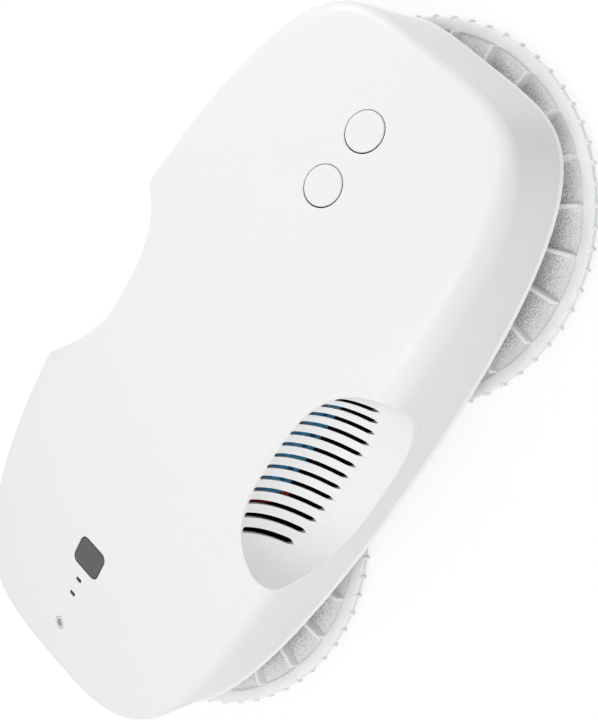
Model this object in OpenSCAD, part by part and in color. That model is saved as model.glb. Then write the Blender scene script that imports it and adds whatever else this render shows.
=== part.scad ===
// Window cleaning robot: two suction discs with cleaning pads, turned by gear motors under a
// crowned case with a vent scoop in each long side.
// The glass is the plane z = 0. +X runs along the case towards the two round keys, and the
// origin is midway between the two disc axes.

/* [Case] */
// Distance from a disc axis to the case's end at its lower edge
case_end = 62.8; // [60:0.1:68]
// Width of the case at its lower edge
case_w = 135.4; // [130:0.2:142]
// Room between the fan motor and the top of the crown
crown_air = 5.2; // [4.5:0.1:12]
// Radius of the crown along the case
crown_long_r = 505; // [460:1:620]
// Radius of the crown across the case
crown_cross_r = 333; // [300:1:420]
// Wall of the top shell and the grilles
wall = 2.2; // [1.8:0.1:2.6]
// Rounding of the upper edge at the middle of the long sides
edge_side_r = 8.5; // [6:0.5:11]
// Rounding of the upper edge at the two ends
edge_end_r = 3.5; // [3:0.5:5]
// Inward lean of the side wall over its height
wall_draft = 0.4; // [0:0.1:1.2]
// Height of the tray's visible band under the shell
band_h = 1.8; // [1.4:0.1:2.4]
// Outward flare of that band
band_flare = 0.5; // [0.3:0.1:0.8]
// Thickness of the tray's floor
tray_t = 2; // [1.6:0.1:3]
// Thickness of the gasket between tray and shell
gasket_t = 0.4; // [0.2:0.1:0.8]
// Diameter of the case screws
case_screw_d = 3; // [2.5:0.1:3.4]
// Diameter of the screw towers
tower_d = 7; // [6:0.5:8]

/* [Vent scoops] */
// Distance from the middle of the case to the edge of the front scoop
front_deck_y = 42.5; // [41:0.25:44]
// Distance from the middle of the case to the edge of the rear scoop
rear_deck_y = 45.5; // [43:0.25:47]
// Length of the scoop between the tips of its plan curve
scoop_l = 88; // [84:1:94]
// Place of the scoops' middle along the case
scoop_x = -1.5; // [-3:0.5:1]
// Radius of the scoop's upper wall
scoop_r = 34.5; // [30:0.5:40]
// How far outside the case the scoop's centre line lies
scoop_eye_out = 22.3; // [18:0.1:28]
// Number of slots in each grille
slot_count = 13; // [7:2:13]
// Distance between slots
slot_pitch = 5; // [4.4:0.1:5.4]
// Width of a slot
slot_w = 1.8; // [1.2:0.1:2.4]
// Distance from the middle of the case to the lower ends of the slots
slot_end_y = 57; // [54:0.5:59]
// Land between the upper ends of the slots and the edge of the scoop
slot_land = 1.8; // [1.5:0.1:4]

/* [Discs and pads] */
// Diameter of a disc over its rim nubs
disc_d = 144.8; // [140:0.2:148]
// Gap between the two discs
disc_gap = 5.8; // [4.4:0.1:12]
// Number of nubs round the rim
nub_count = 60; // [30:2:72]
// How far a nub stands out of the rim
nub_out = 0.8; // [0.4:0.1:1.2]
// Width of a nub
nub_w = 1.6; // [1.2:0.1:2.2]
// Height of the rim
rim_h = 3; // [2.4:0.1:4]
// Width of the rim
rim_w = 4.8; // [3.5:0.1:6]
// Step from the disc's underside up to the rim's
rim_lift = 0.5; // [0.2:0.1:1]
// Thickness of the disc's web
web_t = 2.5; // [2:0.1:3.5]
// Number of ribs on the disc
rib_count = 24; // [12:1:30]
// Thickness of a rib
rib_w = 1.5; // [1:0.1:2.2]
// Height of the ribs above the web
rib_h = 5; // [3:0.1:6]
// Diameter of the circle where the ribs begin
rib_inner_d = 52; // [48:1:60]
// Diameter of the cleaning pad
pad_d = 133; // [120:1:134]
// Thickness of the cleaning pad
pad_t = 5; // [4:0.1:7]
// Diameter of the pad's suction opening
pad_bore = 48; // [46:1:60]
// Gap between the ribs and the bearing boss above them
disc_run_gap = 1.5; // [1:0.1:3]

/* [Drive] */
// Module of the gear teeth
gear_module = 1.5; // [1.4:0.05:1.5]
// Teeth of the disc gear
gear_teeth = 36; // [34:1:37]
// Teeth of the motor pinion
pinion_teeth = 12; // [12:1:13]
// Width of the gear teeth along the axis
gear_w = 6; // [5:0.5:7]
// Side play between meshing teeth
backlash = 0.16; // [0.1:0.02:0.3]
// Outer diameter of the hollow spindle
spindle_d = 20; // [18:0.5:21]
// Diameter of the suction bore through the spindle
spindle_bore = 10; // [8:0.5:12]
// Diameter of the spindle's flange
flange_d = 44; // [42:1:45]
// Thickness of the spindle's flange
flange_t = 3; // [2.5:0.1:4]
// Outer diameter of a spindle bearing
bearing_d = 32; // [30:0.5:34]
// Width of a spindle bearing
bearing_w = 6.5; // [5:0.1:7]
// Distance kept between the two bearings
bearing_apart = 1; // [0.6:0.1:2]
// Depth of the bearing boss below the tray
boss_drop = 10.5; // [8:0.5:11]
// Diameter of a drive motor
motor_d = 28; // [24:0.5:30]
// Height of a drive motor
motor_h = 22; // [18:0.5:23]
// Diameter of a drive motor's shaft
motor_shaft_d = 4; // [3:0.1:5]

/* [Suction] */
// Place of the fan along the case
fan_x = 4; // [2:0.5:6]
// Diameter of the fan housing
fan_d = 72; // [66:0.5:74]
// Height of the fan housing
fan_h = 14.5; // [12:0.5:15]
// Wall of the fan housing and of the duct
fan_wall = 1.5; // [1.2:0.1:1.8]
// Diameter of the fan's inlet
fan_inlet_d = 26; // [20:1:30]
// Number of fan blades
blade_count = 11; // [7:1:15]
// Thickness of a fan blade
blade_t = 1.4; // [1:0.1:2]
// Diameter of the fan motor
fan_motor_d = 28; // [22:1:30]
// Height of the fan motor
fan_motor_h = 9.5; // [7:0.5:10]
// Diameter of the fan shaft
fan_shaft_d = 4; // [3:0.1:5]
// Width of the suction duct
duct_w = 18; // [14:0.5:22]
// Height of the suction duct
duct_h = 10; // [8:0.5:11]

/* [Controls] */
// Diameter of the two round keys
key_d = 14.4; // [12:0.1:15.5]
// Distance from the right disc axis out to the inner round key
inner_key_out = 6.5; // [5:0.1:8.5]
// Distance from the right disc axis out to the outer round key
outer_key_out = 28.9; // [27:0.1:30.5]
// Travel of the keys and the power button
key_travel = 0.8; // [0.5:0.1:1]
// Running gap round a key or button
key_gap = 0.3; // [0.2:0.05:0.4]
// Distance from the left disc axis out to the power button
power_out = 10.9; // [9.7:0.1:12.7]
// Length of the power button along the case
power_l = 11.3; // [10:0.1:13]
// Width of the power button
power_w = 13.4; // [12:0.1:15]
// Corner radius of the power button
power_r = 2.5; // [1:0.1:3]
// Distance from the left disc axis out to the inner light window
inner_light_out = 22.1; // [21.3:0.1:23.1]
// Distance from the left disc axis out to the outer light window
outer_light_out = 29.1; // [27.7:0.1:30.7]
// Size of a light window along the case
light_l = 0.9; // [0.8:0.1:1.4]
// Size of a light window across the case
light_w = 2.2; // [1.6:0.1:3]
// Distance from the left disc axis out to the status lens
lens_out = 44.6; // [42.7:0.1:45.7]
// Diameter of the status lens
lens_d = 2.8; // [2:0.1:3.4]
// Diameter of the ring round the status lens
lens_ring_d = 4.5; // [4:0.1:5.5]

/* [Boards and power] */
// Thickness of the circuit boards
board_t = 1.6; // [1.2:0.1:2]
// Length of the main board
main_board_l = 76; // [74:0.5:77]
// Width of the main board
main_board_w = 58; // [56:0.5:60]
// Length of the key board
key_board_l = 54; // [52:0.5:55]
// Width of the key board
key_board_w = 18; // [15:0.5:20]
// Diameter of a battery cell
cell_d = 18.2; // [16:0.1:18.5]
// Length of a battery cell
cell_l = 50; // [48:0.5:51]
// Diameter of a lead over its jacket
lead_d = 2; // [1.6:0.1:2.4]
// Diameter of the power inlet's socket
inlet_d = 5.5; // [5:0.1:6.5]
// Depth of the power inlet's socket
inlet_depth = 9; // [7:0.5:10]
// Diameter of the hole for the safety rope
rope_hole_d = 6; // [5:0.1:7]
// Thickness of the safety rope's lug
rope_lug_t = 5; // [4:0.5:6]

/* [Hidden] */
$fn = 48;

// Fits: radial play of a turning fit, of a pressed fit, of a fixed seat, and how far a cut
// runs past a face
run_fit = 0.05;
press_play = 0.02;
seat_play = 0.2;
overrun = 1;

// Heights above the glass, from the pads up
web_top = pad_t + web_t;
rim_low = pad_t + rim_lift;
rim_top = rim_low + rim_h;
rib_top = web_top + rib_h;
boss_low = rib_top + disc_run_gap;
floor_z = boss_low + boss_drop;
floor_top = floor_z + tray_t;
band_top = floor_z + band_h;
shell_low = band_top + gasket_t;
boss_lip_t = 1.5;
boss_top = boss_low + boss_lip_t + 2 * bearing_w + bearing_apart;
collar_h = 1.5;
gear_low = boss_top + collar_h;
gear_top = gear_low + gear_w;
clip_t = 1.2;
cover_air = 1.3;
cover_t = 2;
cover_low = gear_top + clip_t + cover_air;
cover_top = cover_low + cover_t;
duct_top = cover_top + duct_h;
fan_top = duct_top + fan_h;
fan_lid_t = 1.5;
fan_lid_top = fan_top + fan_lid_t;
board_air = 2.5;
board_z = duct_top + board_air;
board_top = board_z + board_t;

// Places along the case, from the disc axes
disc_spacing = disc_d + disc_gap;
disc_x = disc_spacing / 2;
case_l = disc_spacing + 2 * case_end;
inner_key_x = disc_x + inner_key_out;
outer_key_x = disc_x + outer_key_out;
power_x = -disc_x - power_out;
inner_light_x = -disc_x - inner_light_out;
outer_light_x = -disc_x - outer_light_out;
lens_x = -disc_x - lens_out;
case_h = fan_lid_top + fan_motor_h + crown_air;

// Plan of the case: how square the oval is along and across at its lower edge and at its
// shoulder, and the steps of its loft
long_power = 2.2;
cross_power = 4.5;
shoulder_long_power = 3.2;
shoulder_cross_power = 4.3;
rim_steps = 72;
edge_steps = 5;
crown_shares = [0.86, 0.64, 0.42, 0.2];

// Vent scoop: turn of its upper wall, its centre line's height over the crown, the power of
// its plan curve, and the length of its straight lower wall
scoop_turn = 45;
scoop_eye_up = 1.3;
scoop_power = 3;
scoop_steps = 18;
scoop_arc_steps = 7;
scoop_run = 36;
scoop_rise = 4.5;
scoop_edge_r = 1.5;
scoop_eye_y = case_w / 2 + scoop_eye_out;
scoop_eye_z = case_h + scoop_eye_up;

// Screw towers, by their angle round the plan
tower_angles = [22, 68, 112, 158, 202, 248, 292, 338];
tower_bite = 1.4;
tower_h = 17;
tower_pilot_share = 0.87;
screw_play = 0.2;
screw_head_share = 1.9;
screw_head_h = 1.8;
lip_t = 1.6;
lip_h = 3.5;

// Discs: turn of each disc about its axis, and how its pieces overlap
left_disc_turn = 0.5;
right_disc_turn = 8.1;
disc_bite = 0.6;
rim_r = disc_d / 2 - nub_out;
disc_screw_count = 4;
disc_screw_d = 3;
disc_screw_ring_d = 34;
disc_screw_head_d = 5.6;
disc_screw_head_h = 1.6;

// Gears: pressure angle, and how far a tooth stands out and cuts in, as shares of the module
pressure_angle = 20;
addendum_share = 0.75;
dedendum_share = 1;
flank_steps = 3;
gear_r = gear_module * gear_teeth / 2;
pinion_r = gear_module * pinion_teeth / 2;
gear_centres = gear_r + pinion_r;
tooth_out = gear_module * addendum_share;
gear_air = 1.5;
cover_wall = 1.6;
clip_w = 3;
boss_wall = 4;
boss_hole_play = 2;
spindle_hole_play = 0.6;
spindle_in_duct = 3.5;
motor_shaft_in = 9;
motor_air = 1;

// Suction parts
duct_end_r = 15;
plenum_r = 22;
seal_w = 3;
seal_h = 2;
outlet_count = 5;
outlet_w = 5;
outlet_pitch = 7.6;
outlet_shift = -4.5;
outlet_h = 5.5;
front_snout_l = 41;
front_snout_x = -4.5;
front_snout_out = 4;
impeller_air = 4;
impeller_floor_air = 1.2;
impeller_plate_t = 1.4;
impeller_hub_r = 7;
blade_inner_r = 12;
blade_turn = 32;
fan_shaft_in = 7;

// Controls
key_skirt = 2.8;
key_flange_t = 1.2;
key_flange_out = 1.4;
stem_d = 4;
switch_w = 6;
switch_h = 3.6;
plunger_d = 3.4;
plunger_up = 1.4;
plunger_in = 1;
switch_well = plunger_in + key_travel + seat_play;
lens_ring_t = 1.6;
cut_block = 40;

// Boards, battery and inlet
main_board_out = 8.7;
main_board_x = -disc_x - main_board_out;
main_board_y = 11;
key_board_out = 14.2;
key_board_x = disc_x + key_board_out;
post_d = 7;
post_inset = 5;
post_pilot_d = 2.6;
board_screw_head_d = 5;
board_screw_head_h = 1.8;
board_screw_in = 4;
cell_y = -16.9;
cell_play = 0.2;
cradle_t = 1.4;
cradle_h = 8;
cell_in = 4.3;
cell_x = disc_x - cell_in;
inlet_y = 16;
inlet_up = 10;
inlet_nose_d = 9;
inlet_block_l = 11;
inlet_block_w = 12;
inlet_back_t = 2;
rope_y = -16;
rope_up = 5;
rope_rim = 3;
rope_out = 2.6;
rope_lug_in = 10;
inlet_z = shell_low + inlet_up;
rope_z = shell_low + rope_up;
rope_x = -case_l / 2 - rope_out;
rope_lug_w = rope_hole_d + 2 * rope_rim;
end_foot_air = 1.6;
end_foot_x = -case_l / 2 + band_flare + wall + 2 * seat_play + lip_t + end_foot_air;

// Parts on the main board: controller, two motor drivers, three capacitors, a connector
controller_w = 11;
controller_h = 1.6;
controller_x = main_board_x + 14;
controller_y = 22;
driver_l = 6;
driver_w = 5;
driver_xs = [main_board_x - 12, main_board_x];
capacitor_d = 6.3;
capacitor_h = 7.2;
capacitor_x = main_board_x + 28;
capacitor_ys = [4, 12, 20];
connector_l = 8;
connector_w = 7;
connector_h = 5.6;
connector_x = main_board_x + 33;
connector_y = -8;

// Route of the two leads from the battery to the main board: out of the cradle, along the
// tray, then up round the fan housing by angle, clearance from the housing and height
lead_apart = 2.6;
lead_sides = 8;
lead_spans = 3;
lead_start_x = cell_x - cell_l / 2 - cell_play - cradle_t;
lead_start_y = -30;
lead_low_z = cover_top + 3.5;
lead_end_z = board_top + 1.6;
lead_low_y = -fan_d / 2 + 3;
lead_bow_y = -fan_d / 2 - 2.4;
lead_turns = [[-130.5, 12.5, 8.5], [-141, 11.2, 13.5], [-152.5, 9, 15.9]];
lead_route = concat(
    [
        [lead_start_x, lead_start_y, lead_low_z],
        [lead_start_x - 2.4, lead_start_y, lead_low_z],
        [fan_x + 32, lead_low_y, lead_low_z],
        [fan_x + 6, lead_low_y, lead_low_z],
        [fan_x - 18, lead_low_y, lead_low_z],
        [fan_x - 24, lead_low_y - 3, lead_low_z],
        [fan_x - 29, lead_bow_y, lead_low_z + 1]
    ],
    [for (t = lead_turns) [
        fan_x + (fan_d / 2 + t.y) * cos(t.x),
        (fan_d / 2 + t.y) * sin(t.x),
        cover_top + t.z
    ]],
    [
        [connector_x + connector_l / 2 + 6, connector_y - 1, lead_end_z + 0.2],
        [connector_x + connector_l / 2 + 2, connector_y, lead_end_z],
        [connector_x + connector_l / 2, connector_y, lead_end_z]
    ]
);

// Height of the crown over a point of the plan, less a drop
function crown_z(p, drop = 0) =
    case_h - drop - p.x * p.x / 2 / crown_long_r - p.y * p.y / 2 / crown_cross_r;

// A cosine or sine drawn out to the power of an oval
function lobe(t, power) = sign(t) * pow(abs(t), 2 / power);

// Point of the case's plan at an angle, brought in by an inset
function plan_at(a, inset) = [
    (case_l / 2 - inset) * lobe(cos(a), long_power),
    (case_w / 2 - inset) * lobe(sin(a), cross_power)
];

// Point of the plan of the shoulder, which is squarer than the lower edge
function shoulder_at(a, inset) = [
    (case_l / 2 - inset) * lobe(cos(a), shoulder_long_power),
    (case_w / 2 - inset) * lobe(sin(a), shoulder_cross_power)
];

function plan(inset) = [for (i = [0:rim_steps - 1]) plan_at(i * 360 / rim_steps, inset)];

// Rounding of the upper edge, which is softer towards the middle of the long sides
function edge_r(p) =
    edge_end_r + (edge_side_r - edge_end_r) * (1 - pow(abs(p.x) * 2 / case_l, 3));

function level(pts, z) = [for (p = pts) [p.x, p.y, z]];

// Rings of the case form from low_z up: wall, rounded edge, then crown
function case_rings(inset, low_z) = concat(
    [level(plan(band_flare + inset), low_z)],
    [for (s = [0:edge_steps]) [for (i = [0:rim_steps - 1])
        let (
            a = i * 360 / rim_steps,
            r = max(edge_r(plan_at(a, 0)) - inset, edge_end_r / 2),
            turn = s * 90 / edge_steps,
            p = shoulder_at(a, band_flare + inset + wall_draft + r * (1 - cos(turn)))
        ) [p.x, p.y, crown_z(p, inset) - r * (1 - sin(turn))]]],
    [for (share = crown_shares) [for (i = [0:rim_steps - 1])
        let (
            a = i * 360 / rim_steps,
            r = max(edge_r(plan_at(a, 0)) - inset, edge_end_r / 2),
            p = shoulder_at(a, band_flare + inset + wall_draft + r) * share
        ) [p.x, p.y, crown_z(p, inset)]]]
);

// Closed skin over a stack of rings, each with as many points. A tip closes an end to a
// point, and an end without one is flat.
module skin(rings, low_tip = undef, high_tip = undef) {
    n = len(rings[0]);
    last = (len(rings) - 1) * n;
    low_i = len(rings) * n;
    high_i = low_i + (is_undef(low_tip) ? 0 : 1);
    points = concat(
        [for (ring = rings) each ring],
        is_undef(low_tip) ? [] : [low_tip],
        is_undef(high_tip) ? [] : [high_tip]
    );
    sides = [for (k = [0:len(rings) - 2]) for (i = [0:n - 1])
        let (j = (i + 1) % n, a = k * n + i, b = k * n + j, c = b + n, d = a + n)
        each [[a, d, c], [a, c, b]]];
    low = is_undef(low_tip)
        ? [[for (i = [0:n - 1]) i]]
        : [for (i = [0:n - 1]) [low_i, i, (i + 1) % n]];
    high = is_undef(high_tip)
        ? [[for (i = [n - 1:-1:0]) last + i]]
        : [for (i = [0:n - 1]) [high_i, last + (i + 1) % n, last + i]];
    polyhedron(points, concat(sides, low, high));
}

// The case form as a solid, brought in by an inset
module case_form(inset, low_z) {
    skin(case_rings(inset, low_z), high_tip = [0, 0, case_h - inset]);
}

// Scoop: share of its full depth at a place along the case
function scoop_share(x, half_l) = pow(1 - pow(abs(x) / half_l, scoop_power), 1 / scoop_power);

// Scoop: profile of its wall at mid-length, from above the crown down past the case wall
function scoop_profile(deck_y, grow) = let (
    r = scoop_r + grow,
    arc_y = deck_y + scoop_r,
    edge_z = crown_z([0, deck_y]),
    low = [arc_y - r * cos(scoop_turn), edge_z - r * sin(scoop_turn)]
) concat(
    [[arc_y - r - scoop_edge_r, edge_z + scoop_rise]],
    [for (a = [90, 60, 30])
        [arc_y - r, edge_z] + scoop_edge_r * [cos(a) - 1, sin(a) - 1]],
    [[arc_y - r, edge_z - scoop_edge_r]],
    [for (i = [1:scoop_arc_steps])
        let (a = i * scoop_turn / scoop_arc_steps)
        [arc_y - r * cos(a), edge_z - r * sin(a)]],
    [low + scoop_run * [sin(scoop_turn), -cos(scoop_turn)]]
);

// Scoop: the hollow as a solid on the +Y side, grown by a wall
module scoop_form(deck_y, grow) {
    half_l = scoop_l / 2 + grow;
    eye = [scoop_eye_y, scoop_eye_z];
    profile = concat(scoop_profile(deck_y, grow), [eye]);
    rings = [for (i = [1:scoop_steps - 1])
        let (x = -half_l * cos(i * 180 / scoop_steps), share = scoop_share(x, half_l))
        [for (p = profile) let (q = eye + share * (p - eye)) [scoop_x + x, q.x, q.y]]];
    skin(rings, [scoop_x - half_l, eye.x, eye.y], [scoop_x + half_l, eye.x, eye.y]);
}

module at_disc(side) {
    translate([side * disc_x, 0, 0]) children();
}

// The left motor stands in front of its disc axis and the right one behind
module at_motor(side) {
    translate([side * disc_x, side * gear_centres, 0]) children();
}

module ring(outer_r, inner_r, h) {
    difference() {
        cylinder(r = outer_r, h = h);
        translate([0, 0, -overrun]) cylinder(r = inner_r, h = h + 2 * overrun);
    }
}

module at_towers() {
    for (a = tower_angles) {
        p = plan_at(a, band_flare + wall + tower_d / 2 - tower_bite);
        translate([p.x, p.y, 0]) children();
    }
}

// Places of the posts that carry the main board, in the order of its corners
module at_main_posts() {
    dx = main_board_l / 2 - post_inset;
    dy = main_board_w / 2 - post_inset;
    for (corner = [[-1, -1], [-1, 1], [1, 1]]) {
        translate([main_board_x + corner.x * dx, main_board_y + corner.y * dy, 0]) children();
    }
}

// Place of a post under one end of the key board
module at_key_post(end) {
    translate([key_board_x + end * (key_board_l / 2 - post_inset), 0, 0]) children();
}

// Trims a piece to the plane that touches the crown over a place on the centre line
module under_crown(x) {
    difference() {
        children();
        translate([x, 0, crown_z([x, 0])]) rotate([0, atan(x / crown_long_r), 0])
            translate([-cut_block / 2, -cut_block / 2, 0]) cube(cut_block);
    }
}

module rounded_bar(l, w, r, h) {
    linear_extrude(h) union() {
        square([l - 2 * r, w], center = true);
        square([l, w - 2 * r], center = true);
        for (x = [-1, 1]) for (y = [-1, 1])
            translate([x * (l / 2 - r), y * (w / 2 - r)]) circle(r);
    }
}

module power_outline(grow, h) {
    translate([power_x, 0, 0])
        rounded_bar(power_l + 2 * grow, power_w + 2 * grow, power_r + grow, h);
}

module key_outline(x, grow, h) {
    translate([x, 0, 0]) cylinder(d = key_d + 2 * grow, h = h);
}

module top_shell() {
    color("white") difference() {
        union() {
            difference() {
                case_form(0, shell_low);
                case_form(wall, shell_low - overrun);
            }
            at_towers() translate([0, 0, shell_low]) cylinder(d = tower_d, h = tower_h);
        }
        scoop_form(rear_deck_y, wall + seat_play);
        mirror([0, 1, 0]) scoop_form(front_deck_y, wall + seat_play);
        key_outline(inner_key_x, key_gap, case_h);
        key_outline(outer_key_x, key_gap, case_h);
        power_outline(key_gap, case_h);
        for (x = [inner_light_x, outer_light_x])
            translate([x - light_l / 2 - seat_play, -light_w / 2 - seat_play, 0])
                cube([light_l + 2 * seat_play, light_w + 2 * seat_play, case_h]);
        translate([lens_x, 0, 0]) cylinder(d = lens_ring_d + 2 * seat_play, h = case_h);
        at_towers() translate([0, 0, shell_low - overrun])
            cylinder(d = case_screw_d * tower_pilot_share, h = tower_h);
        translate([-case_l / 2 - overrun, inlet_y, inlet_z]) rotate([0, 90, 0])
            cylinder(d = inlet_nose_d + 2 * seat_play, h = inlet_block_l);
        translate([-case_l / 2 - overrun, rope_y - rope_lug_w / 2 - seat_play, rope_z - seat_play])
            cube([rope_lug_in, rope_lug_w + 2 * seat_play, rope_lug_t + 2 * seat_play]);
    }
}

// Grille on the +Y side: the scoop's wall, trimmed flush with the case, with its slots
module grille(deck_y) {
    intersection() {
        case_form(0, shell_low);
        difference() {
            scoop_form(deck_y, wall);
            scoop_form(deck_y, 0);
            for (i = [0:slot_count - 1]) {
                x = (i - (slot_count - 1) / 2) * slot_pitch;
                back_y = scoop_eye_y - scoop_share(x - scoop_x, scoop_l / 2) * (scoop_eye_y - deck_y);
                top_z = crown_z([x, back_y]) - slot_land;
                translate([x - slot_w / 2, 0, floor_top])
                    cube([slot_w, slot_end_y, top_z - floor_top]);
            }
        }
    }
}

module front_grille() {
    color("white") mirror([0, 1, 0]) grille(front_deck_y);
}

module rear_grille() {
    color("white") grille(rear_deck_y);
}

module shell_gasket() {
    color("gray") translate([0, 0, band_top]) linear_extrude(gasket_t) difference() {
        polygon(plan(band_flare + wall / 2));
        polygon(plan(band_flare + wall));
    }
}

module base_tray() {
    fit_inset = band_flare + wall + seat_play;
    color("white") difference() {
        union() {
            skin([level(plan(0), floor_z), level(plan(band_flare), band_top)]);
            translate([0, 0, floor_z]) linear_extrude(tray_t) polygon(plan(fit_inset));
            difference() {
                translate([0, 0, floor_z])
                    linear_extrude(tray_t + lip_h) polygon(plan(fit_inset));
                translate([0, 0, floor_top])
                    linear_extrude(lip_h + overrun) polygon(plan(fit_inset + lip_t));
            }
            for (side = [-1, 1]) at_disc(side) translate([0, 0, boss_low])
                cylinder(r = bearing_d / 2 + boss_wall, h = boss_top - boss_low);
            at_main_posts() translate([0, 0, floor_z]) cylinder(d = post_d, h = board_z - floor_z);
            at_key_post(1) translate([0, 0, floor_z]) cylinder(d = post_d, h = board_z - floor_z);
        }
        at_towers() {
            translate([0, 0, floor_z - overrun])
                cylinder(d = case_screw_d + 2 * screw_play, h = tower_h);
            translate([0, 0, floor_top]) cylinder(d = tower_d + 2 * seat_play, h = tower_h);
        }
        for (side = [-1, 1]) at_disc(side) {
            translate([0, 0, boss_low - overrun])
                cylinder(r = spindle_d / 2 + boss_hole_play, h = boss_top);
            translate([0, 0, boss_low + boss_lip_t])
                cylinder(r = bearing_d / 2 + run_fit, h = boss_top);
        }
        at_main_posts() translate([0, 0, floor_top]) cylinder(d = post_pilot_d, h = board_z);
        at_key_post(1) translate([0, 0, floor_top]) cylinder(d = post_pilot_d, h = board_z);
    }
}

// Pan-head screw standing on its head, with the shank up
module screw(d, head_d, head_h, shank_l) {
    translate([0, 0, -head_h]) cylinder(d = head_d, h = head_h);
    cylinder(d = d, h = shank_l);
}

module case_screws() {
    color("silver") at_towers() translate([0, 0, floor_z])
        screw(case_screw_d * tower_pilot_share - 2 * press_play, case_screw_d * screw_head_share,
            screw_head_h, tower_h - tray_t);
}

// Cap of a key, flush with the crown, with the flange under the shell and its stem
module round_key(x) {
    flange_low = crown_z([x, 0], wall) - key_skirt - key_flange_t;
    stem_low = board_top + switch_h + plunger_up;
    union() {
        under_crown(x) translate([0, 0, flange_low]) key_outline(x, 0, case_h - flange_low);
        translate([x, 0, flange_low])
            cylinder(d = key_d + 2 * key_flange_out, h = key_flange_t);
        translate([x, 0, stem_low]) cylinder(d = stem_d, h = flange_low - stem_low + overrun);
    }
}

module inner_key() { color("white") round_key(inner_key_x); }

module outer_key() { color("white") round_key(outer_key_x); }

module power_button() {
    flange_low = crown_z([power_x, 0], wall) - key_skirt - key_flange_t;
    stem_low = board_top + switch_h + plunger_up;
    color("dimgray") union() {
        under_crown(power_x) translate([0, 0, flange_low])
            power_outline(0, case_h - flange_low);
        translate([0, 0, flange_low]) power_outline(key_flange_out, key_flange_t);
        translate([power_x, 0, stem_low])
            cylinder(d = stem_d, h = flange_low - stem_low + overrun);
    }
}

// Plunger of a switch, which moves with the key above it
module plunger(x) {
    low = board_top + switch_h - plunger_in;
    color("black") translate([x, 0, low]) cylinder(d = plunger_d, h = plunger_in + plunger_up);
}

module power_plunger() { plunger(power_x); }

module inner_plunger() { plunger(inner_key_x); }

module outer_plunger() { plunger(outer_key_x); }

module tact_switches() {
    color("dimgray") for (x = [power_x, inner_key_x, outer_key_x]) difference() {
        translate([x - switch_w / 2, -switch_w / 2, board_top])
            cube([switch_w, switch_w, switch_h]);
        translate([x, 0, board_top + switch_h - switch_well])
            cylinder(d = plunger_d + 2 * run_fit, h = switch_h);
    }
}

module light_pipes() {
    color("black") for (x = [inner_light_x, outer_light_x]) under_crown(x)
        translate([x - light_l / 2, -light_w / 2, board_top])
            cube([light_l, light_w, case_h - board_top]);
}

module status_lens() {
    top = crown_z([lens_x, 0]);
    color("gray") under_crown(lens_x) translate([lens_x, 0, board_top]) union() {
        cylinder(d = lens_d, h = case_h - board_top);
        translate([0, 0, top - board_top - wall])
            cylinder(d = lens_ring_d, h = wall + lens_ring_t);
    }
}

module main_board() {
    color("green") difference() {
        translate([main_board_x - main_board_l / 2, main_board_y - main_board_w / 2, board_z])
            cube([main_board_l, main_board_w, board_t]);
        at_main_posts() translate([0, 0, board_z - overrun])
            cylinder(d = case_screw_d + 2 * screw_play, h = board_t + 2 * overrun);
    }
}

module key_board() {
    color("green") difference() {
        translate([key_board_x - key_board_l / 2, -key_board_w / 2, board_z])
            cube([key_board_l, key_board_w, board_t]);
        for (end = [-1, 1]) at_key_post(end) translate([0, 0, board_z - overrun])
            cylinder(d = case_screw_d + 2 * screw_play, h = board_t + 2 * overrun);
    }
}

// Parts on the main board: controller, two motor drivers, three capacitors and the connector
// that the battery leads end in
module board_parts() {
    color("dimgray") translate([0, 0, board_top]) {
        translate([controller_x - controller_w / 2, controller_y - controller_w / 2, 0])
            cube([controller_w, controller_w, controller_h]);
        for (x = driver_xs) translate([x - driver_l / 2, controller_y - driver_w / 2, 0])
            cube([driver_l, driver_w, controller_h]);
        for (y = capacitor_ys) translate([capacitor_x, y, 0])
            cylinder(d = capacitor_d, h = capacitor_h);
        translate([connector_x - connector_l / 2, connector_y - connector_w / 2, 0])
            cube([connector_l, connector_w, connector_h]);
    }
}

module board_screws() {
    shank_d = post_pilot_d - 2 * press_play;
    color("silver") translate([0, 0, board_top]) {
        at_main_posts() mirror([0, 0, 1])
            screw(shank_d, board_screw_head_d, board_screw_head_h, board_screw_in);
        for (end = [-1, 1]) at_key_post(end) mirror([0, 0, 1])
            screw(shank_d, board_screw_head_d, board_screw_head_h, board_screw_in);
    }
}

// Cradle of the battery: a floor and a low wall round the two cells
module battery_cradle() {
    l = cell_l + 2 * cell_play;
    w = 2 * cell_d + 2 * cell_play;
    color("dimgray") translate([cell_x, cell_y - cell_d, cover_top])
        difference() {
            translate([-l / 2 - cradle_t, -w / 2 - cradle_t, 0])
                cube([l + 2 * cradle_t, w + 2 * cradle_t, cradle_h]);
            translate([-l / 2, -w / 2, cradle_t]) cube([l, w, cradle_h]);
        }
}

module battery_cells() {
    color("steelblue") for (row = [0, 1])
        translate([cell_x - cell_l / 2, cell_y - (row + 0.5) * cell_d, cover_top + cradle_t])
            translate([0, 0, cell_d / 2]) rotate([0, 90, 0])
                cylinder(d = cell_d - 2 * press_play, h = cell_l);
}

// Point of a smooth curve through the route, a share of the way along one span
function route_at(pts, span, share) = let (
    a = pts[max(span - 1, 0)],
    b = pts[span],
    c = pts[span + 1],
    d = pts[min(span + 2, len(pts) - 1)]
) b + share * ((c - a) / 2 + share * (a - 2.5 * b + 2 * c - d / 2
    + share * (1.5 * (b - c) + (d - a) / 2)));

function smooth_route(pts, steps) = concat(
    [for (span = [0:len(pts) - 2]) for (i = [0:steps - 1]) route_at(pts, span, i / steps)],
    [pts[len(pts) - 1]]
);

function unit(v) = v / norm(v);

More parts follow.
